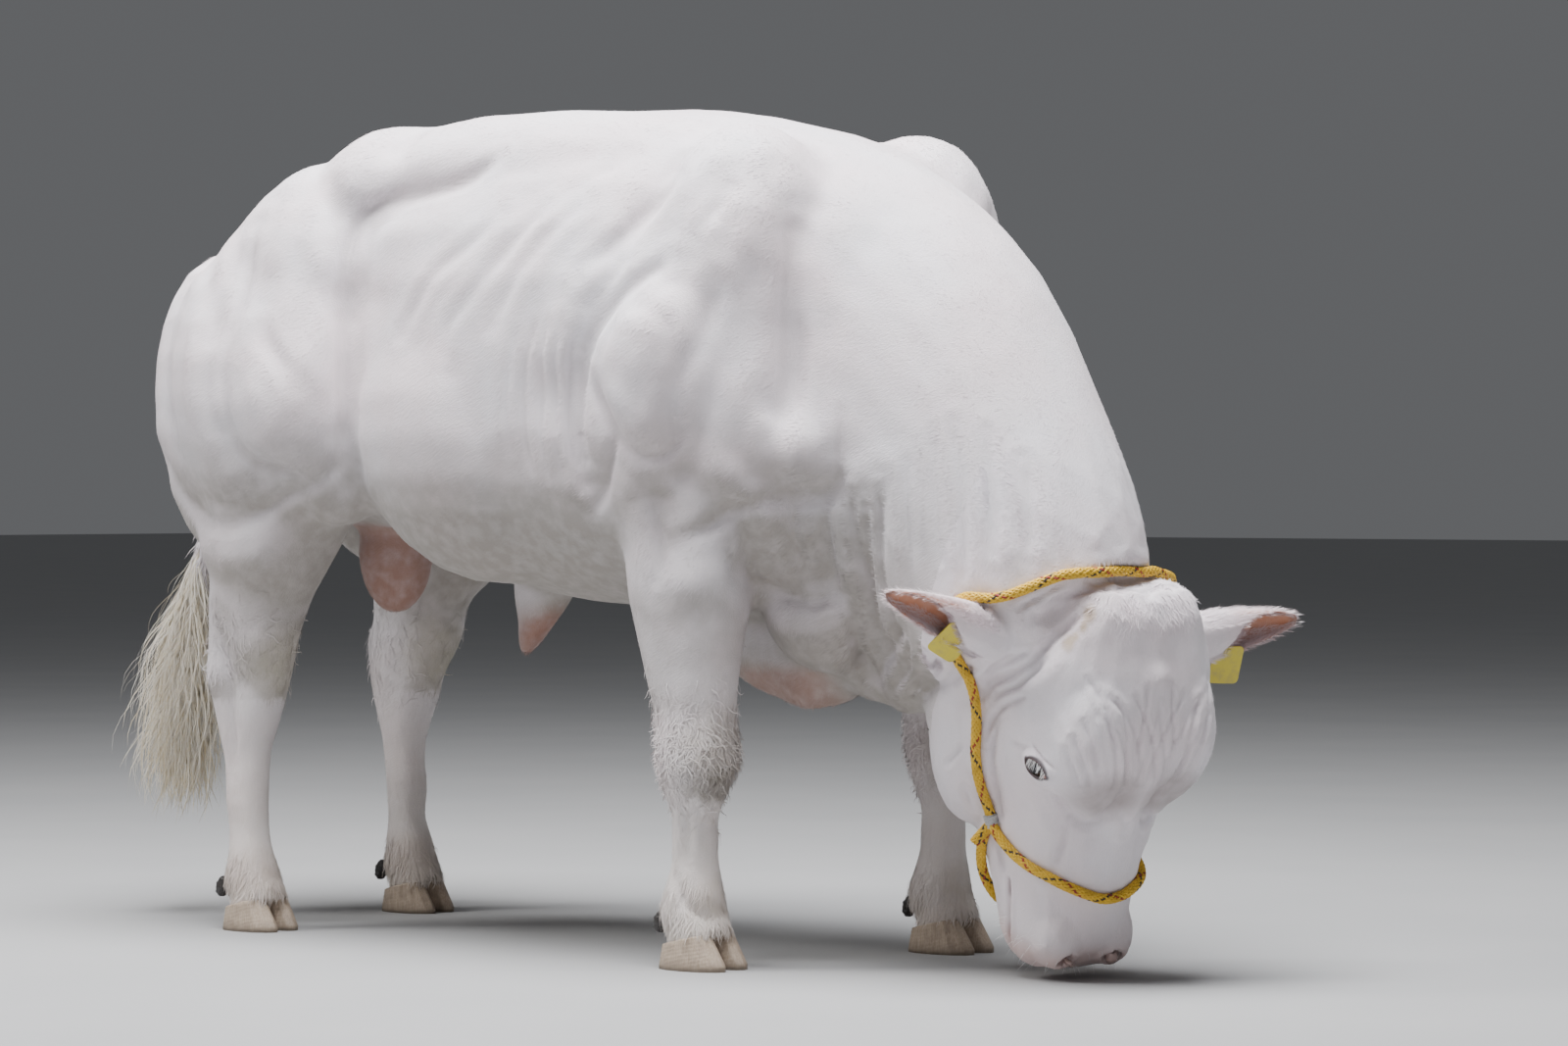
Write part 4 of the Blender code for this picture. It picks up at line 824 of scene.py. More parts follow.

# Lips and nostrils: the mouth's line, the comma of each nostril with its raised rim, and the chin's pink skin
normals = normals_of(head_mesh)
below, out, front = of_head(places)
mouth = [in_head(b, o, f) for b, o, f in MOUTH_ROUTE]
mouth = rounded(mouth + [in_head(b, -o, f) for b, o, f in MOUTH_ROUTE[::-1][1:]])
gap = apart(places, mouth)
push = -0.0062 * np.exp(-((gap / 0.0034) ** 2)) + 0.0022 * np.exp(-(((gap - 0.0105) / 0.0060) ** 2))
# Painted shade along the mouth's line
dab(marks, np.exp(-((gap / 0.0036) ** 2)) * 0.8, (0.22, 0.11, 0.10))
for side in SIDES.values():
    comma = [(0.578, 0.060, -0.040), (0.585, 0.058, -0.024), (0.594, 0.049, -0.014), (0.600, 0.038, -0.012)]
    comma = rounded([in_head(b, side * o, f) for b, o, f in comma])
    gap = apart(places, comma)
    push += -0.0120 * np.exp(-((gap / 0.0085) ** 2)) + 0.0026 * np.exp(-(((gap - 0.0165) / 0.0065) ** 2))
    # Painted shade in each nostril's opening
    dab(marks, np.exp(-((gap / 0.0068) ** 2)) * 0.95, (0.13, 0.055, 0.05))
places = places + normals * push[:, None]
pad = step(below, 0.560, 0.600) * step(front, -0.125, -0.085)
dab(marks, pad * 0.62, (0.62, 0.40, 0.36))
dab(marks, step(below, 0.500, 0.600) * 0.25, (0.70, 0.56, 0.50))
chin = step(below, 0.545, 0.585) * step(-front, 0.085, 0.110)
dab(marks, chin * 0.45, (0.62, 0.42, 0.37))

# Ears: the cup's skin is rust pink and nearly bare, with a brown rim by the tip
EAR_ROOT = (0.100, 0.125, -0.135)
EAR_TIP = {"right": (0.017, 0.383, -0.210), "left": (0.044, 0.377, -0.078)}
EAR_OPENS = {"right": Vector((0.55, -0.65, -0.53)), "left": Vector((0.60, -0.71, -0.37))}


def ear_axes(side_name):
    """An ear's root and tip, the way that it opens, and the way up across it."""
    side = SIDES[side_name]
    root = in_head(EAR_ROOT[0], side * EAR_ROOT[1], EAR_ROOT[2])
    tip = in_head(EAR_TIP[side_name][0], side * EAR_TIP[side_name][1], EAR_TIP[side_name][2])
    along = (tip - root).normalized()
    opening = EAR_OPENS[side_name]
    opening = (opening - along * opening.dot(along)).normalized()
    upward = along.cross(opening)
    if upward.z < 0.0:
        upward.negate()
    return root, tip, opening, upward


def along_ear(places, side_name):
    """How far places lie along an ear and off its axis, their offsets, and the ear's three ways."""
    root, tip, opening, upward = (np.array(v) for v in ear_axes(side_name))
    length = np.linalg.norm(tip - root)
    way = (tip - root) / length
    offset = places - root
    share = offset @ way / length
    aside = np.linalg.norm(offset - np.outer(offset @ way, way), axis=1)
    return share, aside, offset, way, opening, upward


set_points(head_mesh, places)
normals = normals_of(head_mesh)
for side_name in SIDES:
    share, aside, offset, way, opening, upward = along_ear(places, side_name)
    here = (share > 0.36) & (share < 1.06) & (aside < 0.055)
    faces_in = step(normals @ opening, 0.05, 0.45) * step(-(offset @ opening), -0.020, -0.008)
    dab(marks, faces_in * here * step(share, 0.47, 0.56) * 0.92, (0.56, 0.22, 0.11))
    dab(marks, here * step(share, 0.93, 1.0) * faces_in * 0.8, (0.10, 0.055, 0.04))
    dab(marks, here * step(share, 0.36, 0.60) * (1.0 - faces_in) * 0.22, (0.80, 0.60, 0.58))

# Scabs on the brow by the right horn bud, dry and tan
for pixel, reach in (((1112, 626), 0.016), ((1106, 640), 0.009), ((1091, 657), 0.014), ((1098, 650), 0.008)):
    spot = seen_at(pixel, ground)
    patch = near_to(places, spot, (reach, reach, reach * 1.5))
    dab(marks, patch * 0.8, (0.52, 0.40, 0.27))
    places = places + normals * (patch * 0.0010)[:, None]
set_points(head_mesh, places)
normals = normals_of(head_mesh)
small_hollows = hollows_of(places, normals, pairs, 10, 0.0016)
hollow = 0.6 * small_hollows + 0.4 * hollows_of(places, normals, pairs, 90, 0.006)
below, out, front = of_head(places)
# Painted shade in the broad hollow of the upper forehead
brow_hollow = near_to(np.c_[below, out, front], (0.120, 0.0, 0.050), (0.090, 0.110, 0.080))
dab(marks, brow_hollow * 0.14, (0.56, 0.52, 0.54))
# Painted shadow under the brow's bulge, over the face below it
under_brow = near_to(np.c_[below, np.abs(out), front], (0.290, 0.060, 0.030), (0.075, 0.095, 0.085))
dab(marks, under_brow * 0.80, (0.33, 0.28, 0.275))
keep_tones(head_mesh, marks, hollow)

# The two hides meet along the collar, with the same lighting on both sides of the line


def cut_at_collar(mesh, keep):
    """Cuts a hide along the collar plane and keeps one side of it."""
    lighting = mesh.attributes.new("lie", "FLOAT_VECTOR", "POINT")
    lighting.data.foreach_set("vector", normals_of(mesh).astype(np.float32).ravel())
    made = bmesh.new()
    made.from_mesh(mesh)
    near = []
    for face in made.faces:
        middle = face.calc_center_median()
        if middle.z > LEG_TOP - 0.03 and middle.x > 0.5:
            near.append(face)
    edges = {e for f in near for e in f.edges}
    verts = {v for f in near for v in f.verts}
    bmesh.ops.bisect_plane(
        made,
        geom=near + list(edges) + list(verts),
        dist=0.00001,
        plane_co=Vector(COLLAR_POINT),
        plane_no=Vector(COLLAR_NORMAL),
    )
    drop = []
    for face in made.faces:
        middle = face.calc_center_median()
        past = (middle - Vector(COLLAR_POINT)).dot(Vector(COLLAR_NORMAL)) > 0.0
        ahead = past if middle.z > LEG_TOP else middle.x > HEAD_BACK
        if ahead != (keep > 0.0):
            drop.append(face)
    bmesh.ops.delete(made, geom=drop, context="FACES")
    largest_part(made)
    made.to_mesh(mesh)
    made.free()
    normals = np.empty(len(mesh.vertices) * 3, dtype=np.float32)
    mesh.attributes["lie"].data.foreach_get("vector", normals)
    mesh.polygons.foreach_set("use_smooth", np.ones(len(mesh.polygons), dtype=bool))
    mesh.normals_split_custom_set_from_vertices(normals.reshape(-1, 3).tolist())
    mesh.attributes.remove(mesh.attributes["lie"])


def unwrapped(piece):
    """Unwraps a hide by its own shape."""
    for other in bpy.context.selected_objects:
        other.select_set(False)
    piece.select_set(True)
    bpy.context.view_layer.objects.active = piece
    bpy.ops.object.mode_set(mode="EDIT")
    bpy.ops.mesh.select_all(action="SELECT")
    bpy.ops.uv.smart_project(angle_limit=math.radians(70.0), island_margin=0.0005)
    bpy.ops.object.mode_set(mode="OBJECT")


def coat_colour(tree, lighter):
    """White with a pink and lilac cast, with painted shade that greys the hollows and creases, and the
    markings and their painted shade laid over it.
    """
    white = between(
        tree, fit(tree, grain(tree, 4.5, 4.0), 0.35, 0.65),
        (0.86 * lighter, 0.76 * lighter, 0.79 * lighter), (0.87 * lighter, 0.84 * lighter, 0.885 * lighter),
    )
    depth = tree.nodes.new("ShaderNodeAttribute")
    depth.attribute_name = "hollow"
    high = fit(tree, depth.outputs["Fac"], 0.0, -0.8, 0.0, 0.25)
    white = between(tree, high, white, (0.87 * lighter, 0.79 * lighter, 0.80 * lighter))
    # Painted shade: the hide greys where it lies deep in a hollow or crease
    low = fit(tree, depth.outputs["Fac"], 0.10, 1.0, 0.0, 0.30)
    white = between(tree, low, white, (0.52, 0.46, 0.47))
    fine = fit(tree, grain(tree, 190.0, 2.0), 0.30, 0.70, 0.0, 0.10)
    white = between(tree, fine, white, (0.62, 0.58, 0.60))
    marking_and_shade = tree.nodes.new("ShaderNodeAttribute")
    marking_and_shade.attribute_name = "marking_and_shade"
    broken = fit(tree, grain(tree, 42.0, 5.0), 0.25, 0.60, 0.80, 1.0)
    laid = tree.nodes.new("ShaderNodeMath")
    laid.operation = "MULTIPLY"
    tree.links.new(broken, laid.inputs[0])
    tree.links.new(marking_and_shade.outputs["Alpha"], laid.inputs[1])
    return between(tree, laid.outputs["Value"], white, marking_and_shade.outputs["Color"])


def hide_look(name, lie, along):
    """Skin under short hair that lies flat: streaks along the hair's lie, and soft unevenness under them."""
    look, tree, shader = new_look(name, 0.72, 0.25)
    tree.links.new(coat_colour(tree, 0.96), shader.inputs["Base Color"])
    shader.inputs["Sheen Weight"].default_value = 0.12
    shader.inputs["Sheen Roughness"].default_value = 0.5
    streaks = grain(tree, 1.0, 3.0, lie, along)
    lumps = grain(tree, 34.0, 3.0)
    pores = grain(tree, 420.0, 2.0)
    emboss(tree, shader, (
        (lumps, 0.0022, 0.35),
        (streaks, 0.0016, 0.50),
        (pores, 0.0006, 0.30),
    ))
    return look


body_look = hide_look("body_hide", (0.0, math.radians(-28.0), 0.0), (0.016, 0.0022, 0.0022))
head_look = hide_look("head_hide", (0.0, math.radians(16.0), 0.0), (0.0018, 0.0018, 0.012))
hides = {}
for mesh, keep, look, replaced in (
    (body_mesh, -1.0, body_look, [n for n in hide_names if not n.startswith(("claw", "head"))]),
    (head_mesh, 1.0, head_look, ["head", "ear_right", "ear_left"]),
):
    cut_at_collar(mesh, keep)
    mesh.materials.clear()
    mesh.materials.append(look)
    hide = bpy.data.objects.new(mesh.name, mesh)
    scene.collection.objects.link(hide)
    unwrapped(hide)
    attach(hide, "root")
    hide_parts(*replaced)
    hides[hide.name] = hide
body_hide, head_hide = hides["body_hide"], hides["head_hide"]

# Eyes
# Dark brown eyeballs with a wide flat pupil, wet and glossy, set deep between the lids. Each has a wet
# rim along the slit, a pink corner towards the nose, and pale lashes that hang over it from above.
EYE_COLOURS = ((0.006, 0.008, 0.014), (0.030, 0.018, 0.012), (0.16, 0.12, 0.11))
LID_RIM = 0.0011
PUPIL_SHARE = 0.42
IRIS_SHARE = 0.80


def piece_of(name, mesh, look, slot, *replaced):
    """A finished piece, which rides on the bull and stands for solids where it has them."""
    mesh.name = name
    if not mesh.materials:
        mesh.materials.append(look)
    mesh.materials[0] = look
    piece = bpy.data.objects.new(name, mesh)
    scene.collection.objects.link(piece)
    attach(piece, "root")
    if replaced:
        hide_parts(*replaced)
    return piece


def mesh_of(name, made, smooth=True):
    """A mesh from a bmesh, shaded smooth where its form is round."""
    for face in made.faces:
        face.smooth = smooth
    mesh = bpy.data.meshes.new(name)
    made.to_mesh(mesh)
    made.free()
    return mesh


def tube(made, places, radius, look_index=0, closed=False, roundness=1):
    """A round yarn or rim along places, drawn into a bmesh with a material index."""
    curve = bpy.data.curves.new("yarn", "CURVE")
    curve.dimensions = "3D"
    curve.bevel_depth = radius
    curve.bevel_resolution = roundness
    curve.use_fill_caps = not closed
    line = curve.splines.new("POLY")
    line.points.add(len(places) - 1)
    for point, place in zip(line.points, places):
        point.co = (*place, 1.0)
    line.use_cyclic_u = closed
    holder = bpy.data.objects.new("yarn", curve)
    drawn = bpy.data.meshes.new_from_object(holder)
    drawn.materials.clear()
    before = len(made.faces)
    made.from_mesh(drawn)
    made.faces.ensure_lookup_table()
    for face in made.faces[before:]:
        face.material_index = look_index
    bpy.data.objects.remove(holder)
    bpy.data.curves.remove(curve)
    bpy.data.meshes.remove(drawn)


def eye_axes(side):
    """An eyeball's centre, the way that it looks, along the slit to the nose, and above it."""
    centre = in_head(EYE_PLACE[0], side * EYE_PLACE[1], EYE_PLACE[2])
    turn = HEAD_FRAME.to_3x3()
    outward = (turn @ Vector((0.30, side, 0.0))).normalized()
    along = turn @ Vector((math.sin(EYE_SLANT), 0.0, -math.cos(EYE_SLANT)))
    along = (along - outward * along.dot(outward)).normalized()
    above = outward.cross(along)
    if above.dot(turn @ Vector((math.cos(EYE_SLANT), 0.0, math.sin(EYE_SLANT)))) < 0.0:
        above.negate()
    return centre, outward, along, above


eye_look, tree, shader = new_look("wet_eye", 0.06, 0.35)
gaze = tree.nodes.new("ShaderNodeAttribute")
gaze.attribute_name = "gaze"
pupil = fit(tree, gaze.outputs["Fac"], PUPIL_SHARE - 0.03, PUPIL_SHARE + 0.03)
white = fit(tree, gaze.outputs["Fac"], IRIS_SHARE - 0.04, IRIS_SHARE + 0.06)
iris = between(tree, grain(tree, 900.0, 3.0), EYE_COLOURS[1], (0.055, 0.032, 0.020))
inner = between(tree, pupil, EYE_COLOURS[0], iris)
tree.links.new(between(tree, white, inner, EYE_COLOURS[2]), shader.inputs["Base Color"])
shader.inputs["Coat Weight"].default_value = 0.35
shader.inputs["Coat Roughness"].default_value = 0.02
rim_look, tree, shader = new_look("wet_lid_rim", 0.22)
tree.links.new(
    between(tree, grain(tree, 260.0), (0.045, 0.032, 0.034), (0.13, 0.075, 0.075)),
    shader.inputs["Base Color"],
)
corner_look, tree, shader = new_look("eye_corner", 0.25)
tree.links.new(
    between(tree, grain(tree, 400.0), (0.34, 0.14, 0.13), (0.50, 0.26, 0.23)),
    shader.inputs["Base Color"],
)
for side_name, side in SIDES.items():
    centre, outward, along, above = eye_axes(side)
    made = bmesh.new()
    bmesh.ops.create_uvsphere(made, u_segments=40, v_segments=28, radius=EYE_RADIUS)
    look_out = outward.to_track_quat("Z", "Y").to_matrix()
    bmesh.ops.rotate(made, verts=made.verts, cent=(0, 0, 0), matrix=look_out)
    for vert in made.verts:
        facing = vert.co.normalized().dot(outward)
        vert.co *= 1.0 + 0.075 * max(0.0, facing - 0.80) / 0.20
    level = Vector((0.0, 0.0, 1.0)).cross(outward).normalized()
    upright = outward.cross(level)
    spread = [
        math.hypot(v.co.dot(level) * (0.80 if v.co.dot(outward) > 0 else 3.0), v.co.dot(upright)) / EYE_RADIUS
        for v in made.verts
    ]
    bmesh.ops.translate(made, verts=made.verts, vec=centre)
    ball = mesh_of("eyeball", made)
    ball.attributes.new("gaze", "FLOAT", "POINT").data.foreach_set("value", spread)
    piece_of(f"eyeball_{side_name}", ball, eye_look, "eye", f"eye_{side_name}")

    edge = []
    for k in range(48):
        turn = 2.0 * math.pi * k / 48
        u = math.cos(turn) * (SLIT_HALF - 0.0006)
        arch = max(0.0, 1.0 - (u / SLIT_HALF) ** 2) ** 0.75
        v = arch * (SLIT_ABOVE if math.sin(turn) > 0.0 else -SLIT_BELOW)
        high = math.sqrt(max(0.0, LID_RADIUS ** 2 - (u * 0.62) ** 2 - v * v))
        edge.append(centre + along * u + above * v + outward * (high + 0.0002))
    made = bmesh.new()
    tube(made, edge, LID_RIM, closed=True, roundness=2)
    piece_of(f"lid_rim_{side_name}", mesh_of("lid_rim", made), rim_look, "eye")

    made = bmesh.new()
    bmesh.ops.create_icosphere(made, subdivisions=3, radius=1.0)
    nub = Matrix((along, above, outward)).transposed().to_4x4()
    spot = centre + along * (SLIT_HALF - 0.0030) + outward * 0.0172
    size = Matrix.Diagonal((0.0042, 0.0026, 0.0028, 1.0))
    bmesh.ops.transform(made, matrix=Matrix.Translation(spot) @ nub @ size, verts=made.verts)
    piece_of(f"eye_corner_{side_name}", mesh_of("eye_corner", made), corner_look, "eye")

# Coat
# Short white hair that lies back over the trunk, down the legs and down the face. It is laid as thin
# pointed tufts over the hides, longer where a bull has long hair: knees, coronets, ears and tail.
HAIR_SEED = 4117
BLADE_TAPER = 0.55
ROOT_DEPTH = 0.0006
OVER_FLOOR = 0.0004
UNWRAP_PATCH = 0.003


def hair_lie(places, normals):
    """The way that the hair lies at each place, along the hide."""
    below, out, front = of_head(places)
    x, y, z = places.T
    trunk = np.tile(np.array((-1.0, 0.0, -0.50)), (len(places), 1))
    leg = step(-z, -0.78, -0.50)[:, None] * (step(-x, -0.60, -0.50))[:, None]
    lie = trunk * (1.0 - leg) + np.array((-0.12, 0.0, -1.0)) * leg
    neck = (step(x, 0.42, 0.66) * (1.0 - leg[:, 0]))[:, None]
    lie = lie * (1.0 - neck) + np.array((-0.90, 0.0, 0.10)) * neck
    face = step(past_collar(places), 0.02, 0.10)[:, None]
    down_face = turn_head @ np.array((-0.35, 0.0, -1.0))
    back_cheek = turn_head @ np.array((-1.0, 0.0, -0.25))
    cheek = step(np.abs(out), 0.07, 0.15)[:, None] * step(-front, -0.04, 0.05)[:, None]
    lie = lie * (1.0 - face) + (down_face * (1.0 - cheek) + back_cheek * cheek) * face
    rump_tail = ((x < -0.80) & (z > 0.62))[:, None]
    lie = np.where(rump_tail, np.array((-0.30, 0.0, -1.0)), lie)
    for side_name in SIDES:
        share, aside, offset, way, opening, upward = along_ear(places, side_name)
        on_ear = (step(share, 0.22, 0.45) * (aside < 0.060) * (share < 1.1))[:, None]
        lie = lie * (1.0 - on_ear) + way * on_ear
    lie = lie - normals * np.sum(lie * normals, axis=1)[:, None]
    return lie / np.maximum(np.linalg.norm(lie, axis=1), 1e-6)[:, None]


def sown(hide, density, draw):
    """Hair roots spread over a hide, as many to a square metre as density gives at each place."""
    mesh = hide.data
    mesh.calc_loop_triangles()
    count = len(mesh.loop_triangles)
    corners = np.empty(count * 3, dtype=np.int32)
    loops = np.empty(count * 3, dtype=np.int32)
    areas = np.empty(count)
    mesh.loop_triangles.foreach_get("vertices", corners)
    mesh.loop_triangles.foreach_get("loops", loops)
    mesh.loop_triangles.foreach_get("area", areas)
    corners, loops = corners.reshape(-1, 3), loops.reshape(-1, 3)
    places, normals = points_of(mesh), normals_of(mesh)
    wanted = areas * density(places[corners].mean(axis=1), normals[corners].mean(axis=1))
    chosen = np.repeat(np.arange(count), np.floor(wanted + draw.random(count)).astype(int))
    a, b = draw.random(len(chosen)), draw.random(len(chosen))
    a, b = np.where(a + b > 1.0, 1.0 - a, a), np.where(a + b > 1.0, 1.0 - b, b)
    share = np.c_[1.0 - a - b, a, b]
    unwrap = np.empty(len(mesh.loops) * 2)
    mesh.uv_layers[0].data.foreach_get("uv", unwrap)
    marks = np.empty(len(places) * 4)
    mesh.attributes["marking_and_shade"].data.foreach_get("color", marks)
    hollow = np.empty(len(places))
    mesh.attributes["hollow"].data.foreach_get("value", hollow)

    def at_root(values, index):
        return np.einsum("nk,nkd->nd", share, values[index[chosen]])

    normal = at_root(normals, corners)
    normal /= np.linalg.norm(normal, axis=1)[:, None]
    place = at_root(places, corners)
    return {
        "place": place,
        "normal": normal,
        "lie": hair_lie(place, normal),
        "unwrap": at_root(unwrap.reshape(-1, 2), loops),
        "marking_and_shade": at_root(marks.reshape(-1, 4), corners),
        "hollow": at_root(hollow[:, None], corners)[:, 0],
    }


def pointed_blade(segments):
    """A flat pointed blade, one long and one wide: its corners, across and along, and its faces."""
    made = bmesh.new()
    bmesh.ops.create_grid(made, x_segments=1, y_segments=segments, size=0.5)
    for vert in made.verts:
        vert.co.y += 0.5
        vert.co.x *= (1.0 - vert.co.y) ** BLADE_TAPER
    bmesh.ops.remove_doubles(made, verts=made.verts, dist=0.0001)
    made.verts.index_update()
    places = np.array([(v.co.x, v.co.y) for v in made.verts])
    faces = [[v.index for v in f.verts] for f in made.faces]
    made.free()
    return places, faces


def tufts(
    name, roots, draw, segments, length, width, lift,
    droop=0.3, sway=0.0, stray=0.12, look=None, slot="white_coat",
):
    """Tufts from roots: their length and width in metres, lift off the hide, droop, sway and stray."""
    form, faces = pointed_blade(segments)
    count, corners = len(roots["place"]), len(form)
    t = form[:, 1][None, :, None]
    across = form[:, 0][None, :, None]
    lie, normal = roots["lie"], roots["normal"]
    side = np.cross(normal, lie)
    veer = draw.normal(0.0, stray, count)[:, None]
    lie = lie * np.cos(veer) + side * np.sin(veer)
    side = np.cross(normal, lie)
    long = (np.broadcast_to(length, count) * draw.uniform(0.75, 1.25, count))[:, None, None]
    wide = (np.broadcast_to(width, count) * draw.uniform(0.8, 1.2, count))[:, None, None]
    rise = (np.broadcast_to(lift, count) * draw.uniform(0.5, 1.5, count))[:, None, None]
    phase = draw.uniform(0.0, 2.0 * np.pi, count)[:, None, None]
    wave = sway * (np.sin(phase + 5.0 * t) - np.sin(phase)) * t
    places = (
        roots["place"][:, None, :] - normal[:, None, :] * ROOT_DEPTH
        + lie[:, None, :] * long * t
        + side[:, None, :] * (across * wide + wave * long)
        + normal[:, None, :] * long * (rise * t - droop * rise * t * t)
    )
    places[:, :, 2] = np.maximum(places[:, :, 2], OVER_FLOOR)
    sizes = np.array([len(f) for f in faces])
    ring = np.concatenate([np.array(f) for f in faces])
    loops = (np.arange(count)[:, None] * corners + ring[None, :]).ravel()
    starts = np.arange(count)[:, None] * len(ring) + np.r_[0, np.cumsum(sizes)[:-1]][None, :]
    mesh = bpy.data.meshes.new(name)
    mesh.vertices.add(count * corners)
    mesh.vertices.foreach_set("co", places.ravel())
    mesh.loops.add(len(loops))
    mesh.loops.foreach_set("vertex_index", loops.astype(np.int32))
    mesh.polygons.add(count * len(faces))
    mesh.polygons.foreach_set("loop_start", starts.ravel().astype(np.int32))
    mesh.polygons.foreach_set("use_smooth", np.ones(count * len(faces), dtype=bool))
    patch = roots["unwrap"][:, None, :] + UNWRAP_PATCH * (form[ring] - np.array((0.0, 0.5)))[None, :, :]
    mesh.uv_layers.new(name="OFBake").data.foreach_set("uv", patch.ravel())
    marking_and_shade = np.repeat(roots["marking_and_shade"], corners, axis=0).astype(np.float32)
    mesh.attributes.new("marking_and_shade", "FLOAT_COLOR", "POINT").data.foreach_set("color", marking_and_shade.ravel())
    hollow = np.repeat(roots["hollow"], corners).astype(np.float32)
    mesh.attributes.new("hollow", "FLOAT", "POINT").data.foreach_set("value", hollow)
    mesh.update()
    return piece_of(name, mesh, look or coat_look, slot)


def part_of(roots, kept):
    return {key: value[kept] for key, value in roots.items()}


coat_look, tree, shader = new_look("coat_hair", 0.62, 0.3)
tree.links.new(coat_colour(tree, 1.02), shader.inputs["Base Color"])
shader.inputs["Sheen Weight"].default_value = 0.10

draw = np.random.default_rng(HAIR_SEED)
BODY_DENSITY = 26000.0
HEAD_DENSITY = 60000.0

roots = sown(body_hide, lambda places, normals: np.full(len(places), BODY_DENSITY), draw)
x, y, z = roots["place"].T
horn_near = np.zeros(len(x), dtype=bool)
for foot in FEET:
    at_foot = (np.hypot(x - foot[0], y - foot[1]) < 0.12) & (z < 0.12)
    horn_near |= at_foot & (coronet_gap(roots["place"], foot) < 0.002)
long_here = 0.015 + 0.006 * step(-z, -0.60, -0.30)
for label, kept in (
    ("rump", x < -0.62),
    ("loin", (x >= -0.62) & (x < -0.20)),
    ("ribs", (x >= -0.20) & (x < 0.26)),
    ("shoulder", x >= 0.26),
):
    kept = kept & ~horn_near
    patch = part_of(roots, kept)
    tufts(f"coat_{label}", patch, draw, 2, long_here[kept], width=0.0021, lift=0.07)

roots = sown(head_hide, lambda places, normals: np.full(len(places), HEAD_DENSITY), draw)
below, out, front = of_head(roots["place"])
bare = np.zeros(len(below), dtype=bool)
for side in SIDES.values():
    centre, outward, along, above = (np.array(v) for v in eye_axes(side))
    offset = roots["place"] - centre
    bare |= (np.hypot((offset @ along) * 0.80, offset @ above) < 0.0165) & (offset @ outward > -0.01)
bare |= (roots["marking_and_shade"][:, 3] > 0.55) & (below > 0.52)
cup = (roots["marking_and_shade"][:, 3] > 0.55) & (np.abs(out) > 0.15)
bare |= cup & (draw.random(len(cup)) > 0.25)
long_here = 0.0105 - 0.0045 * step(below, 0.20, 0.45) + 0.004 * step(-below, -0.06, 0.02)
tufts("coat_head", part_of(roots, ~bare), draw, 2, long_here[~bare], width=0.0013, lift=0.08)

# Long hair: the knees and hocks' waves, the feathering over the claws, the belly's and brisket's fringe
KNEE_HEIGHT = 0.36


def foot_density(places, normals):
    """Most round the fetlocks and coronets, less on the knees."""
    x, y, z = places.T
    leg = (x < 0.60) & (np.abs(y) > 0.13)
    low = step(-z, -0.165, -0.10) * 32000.0
    knee = np.exp(-(((z - KNEE_HEIGHT) / 0.070) ** 2)) * step(x, -0.05, 0.05) * 40000.0
    hock = np.exp(-(((z - 0.52) / 0.070) ** 2)) * step(-x, 0.40, 0.50) * 5000.0
    return (low + knee + hock) * leg * (z < 0.62)


roots = sown(body_hide, foot_density, draw)
z = roots["place"][:, 2]
on_foot = z < 0.17
knee = part_of(roots, ~on_foot)
tufts("knee_hair", knee, draw, 4, 0.030, 0.0028, lift=0.26, droop=0.5, sway=0.22, stray=0.55)
gap = np.full(len(z), 1.0)
for foot in FEET:
    at_foot = np.hypot(roots["place"][:, 0] - foot[0], roots["place"][:, 1] - foot[1]) < 0.13
    gap = np.where(at_foot, coronet_gap(roots["place"], foot), gap)
foot_hair = part_of(roots, on_foot & (gap > 0.001))
tufts("foot_hair", foot_hair, draw, 3, 0.032, 0.0022, lift=0.26, droop=1.0, sway=0.10, stray=0.30)


def fringe_density(places, normals):
    """Along the belly's middle, the brisket's edge, the back of the thighs and under the tail."""
    x, y, z = places.T
    under = step(-normals[:, 2], 0.55, 0.90) * step(-np.abs(y), -0.20, -0.05) * (z > 0.40) * 9000.0
    tail = ((x < -0.93) & (np.abs(y) < 0.09) & (z < 1.25)) * 22000.0
    return under + tail


roots = sown(body_hide, fringe_density, draw)
on_tail = roots["place"][:, 0] < -0.93
tail_part = part_of(roots, on_tail)
lower = step(-tail_part["place"][:, 2], -1.1, -0.68)
tail_lift = 0.10 + 0.10 * lower
tufts("tail_hair", tail_part, draw, 3, 0.024 + 0.030 * lower, 0.0026, tail_lift, sway=0.10, stray=0.15)
# Fringe grows only where the markings lie light: bare skin and the belly's thick painted shade both keep it
# off
lightly_marked = roots["marking_and_shade"][:, 3] < 0.60
fringe = part_of(roots, ~on_tail & lightly_marked)
tufts("belly_fringe", fringe, draw, 3, 0.026, 0.0022, lift=0.18, droop=0.2, sway=0.06, stray=0.20)


def head_fringe_density(places, normals):
    """The poll's tuft and the jaw's edge."""
    below, out, front = of_head(places)
    poll = near_to(np.c_[below, out, front], (-0.02, 0.0, -0.02), (0.07, 0.12, 0.09)) * 30000.0
    jaw = step(-front, 0.20, 0.30) * step(-np.abs(out), -0.10, -0.03) * (below > 0.18) * 9000.0
    return poll + jaw


roots = sown(head_hide, head_fringe_density, draw)
tufts("poll_and_jaw_hair", roots, draw, 3, 0.018, 0.0016, lift=0.22, droop=0.4, sway=0.08, stray=0.35)


def ear_density(places, normals):
    below, out, front = of_head(places)
    return step(np.abs(out), 0.16, 0.22) * (below < 0.18) * 170000.0


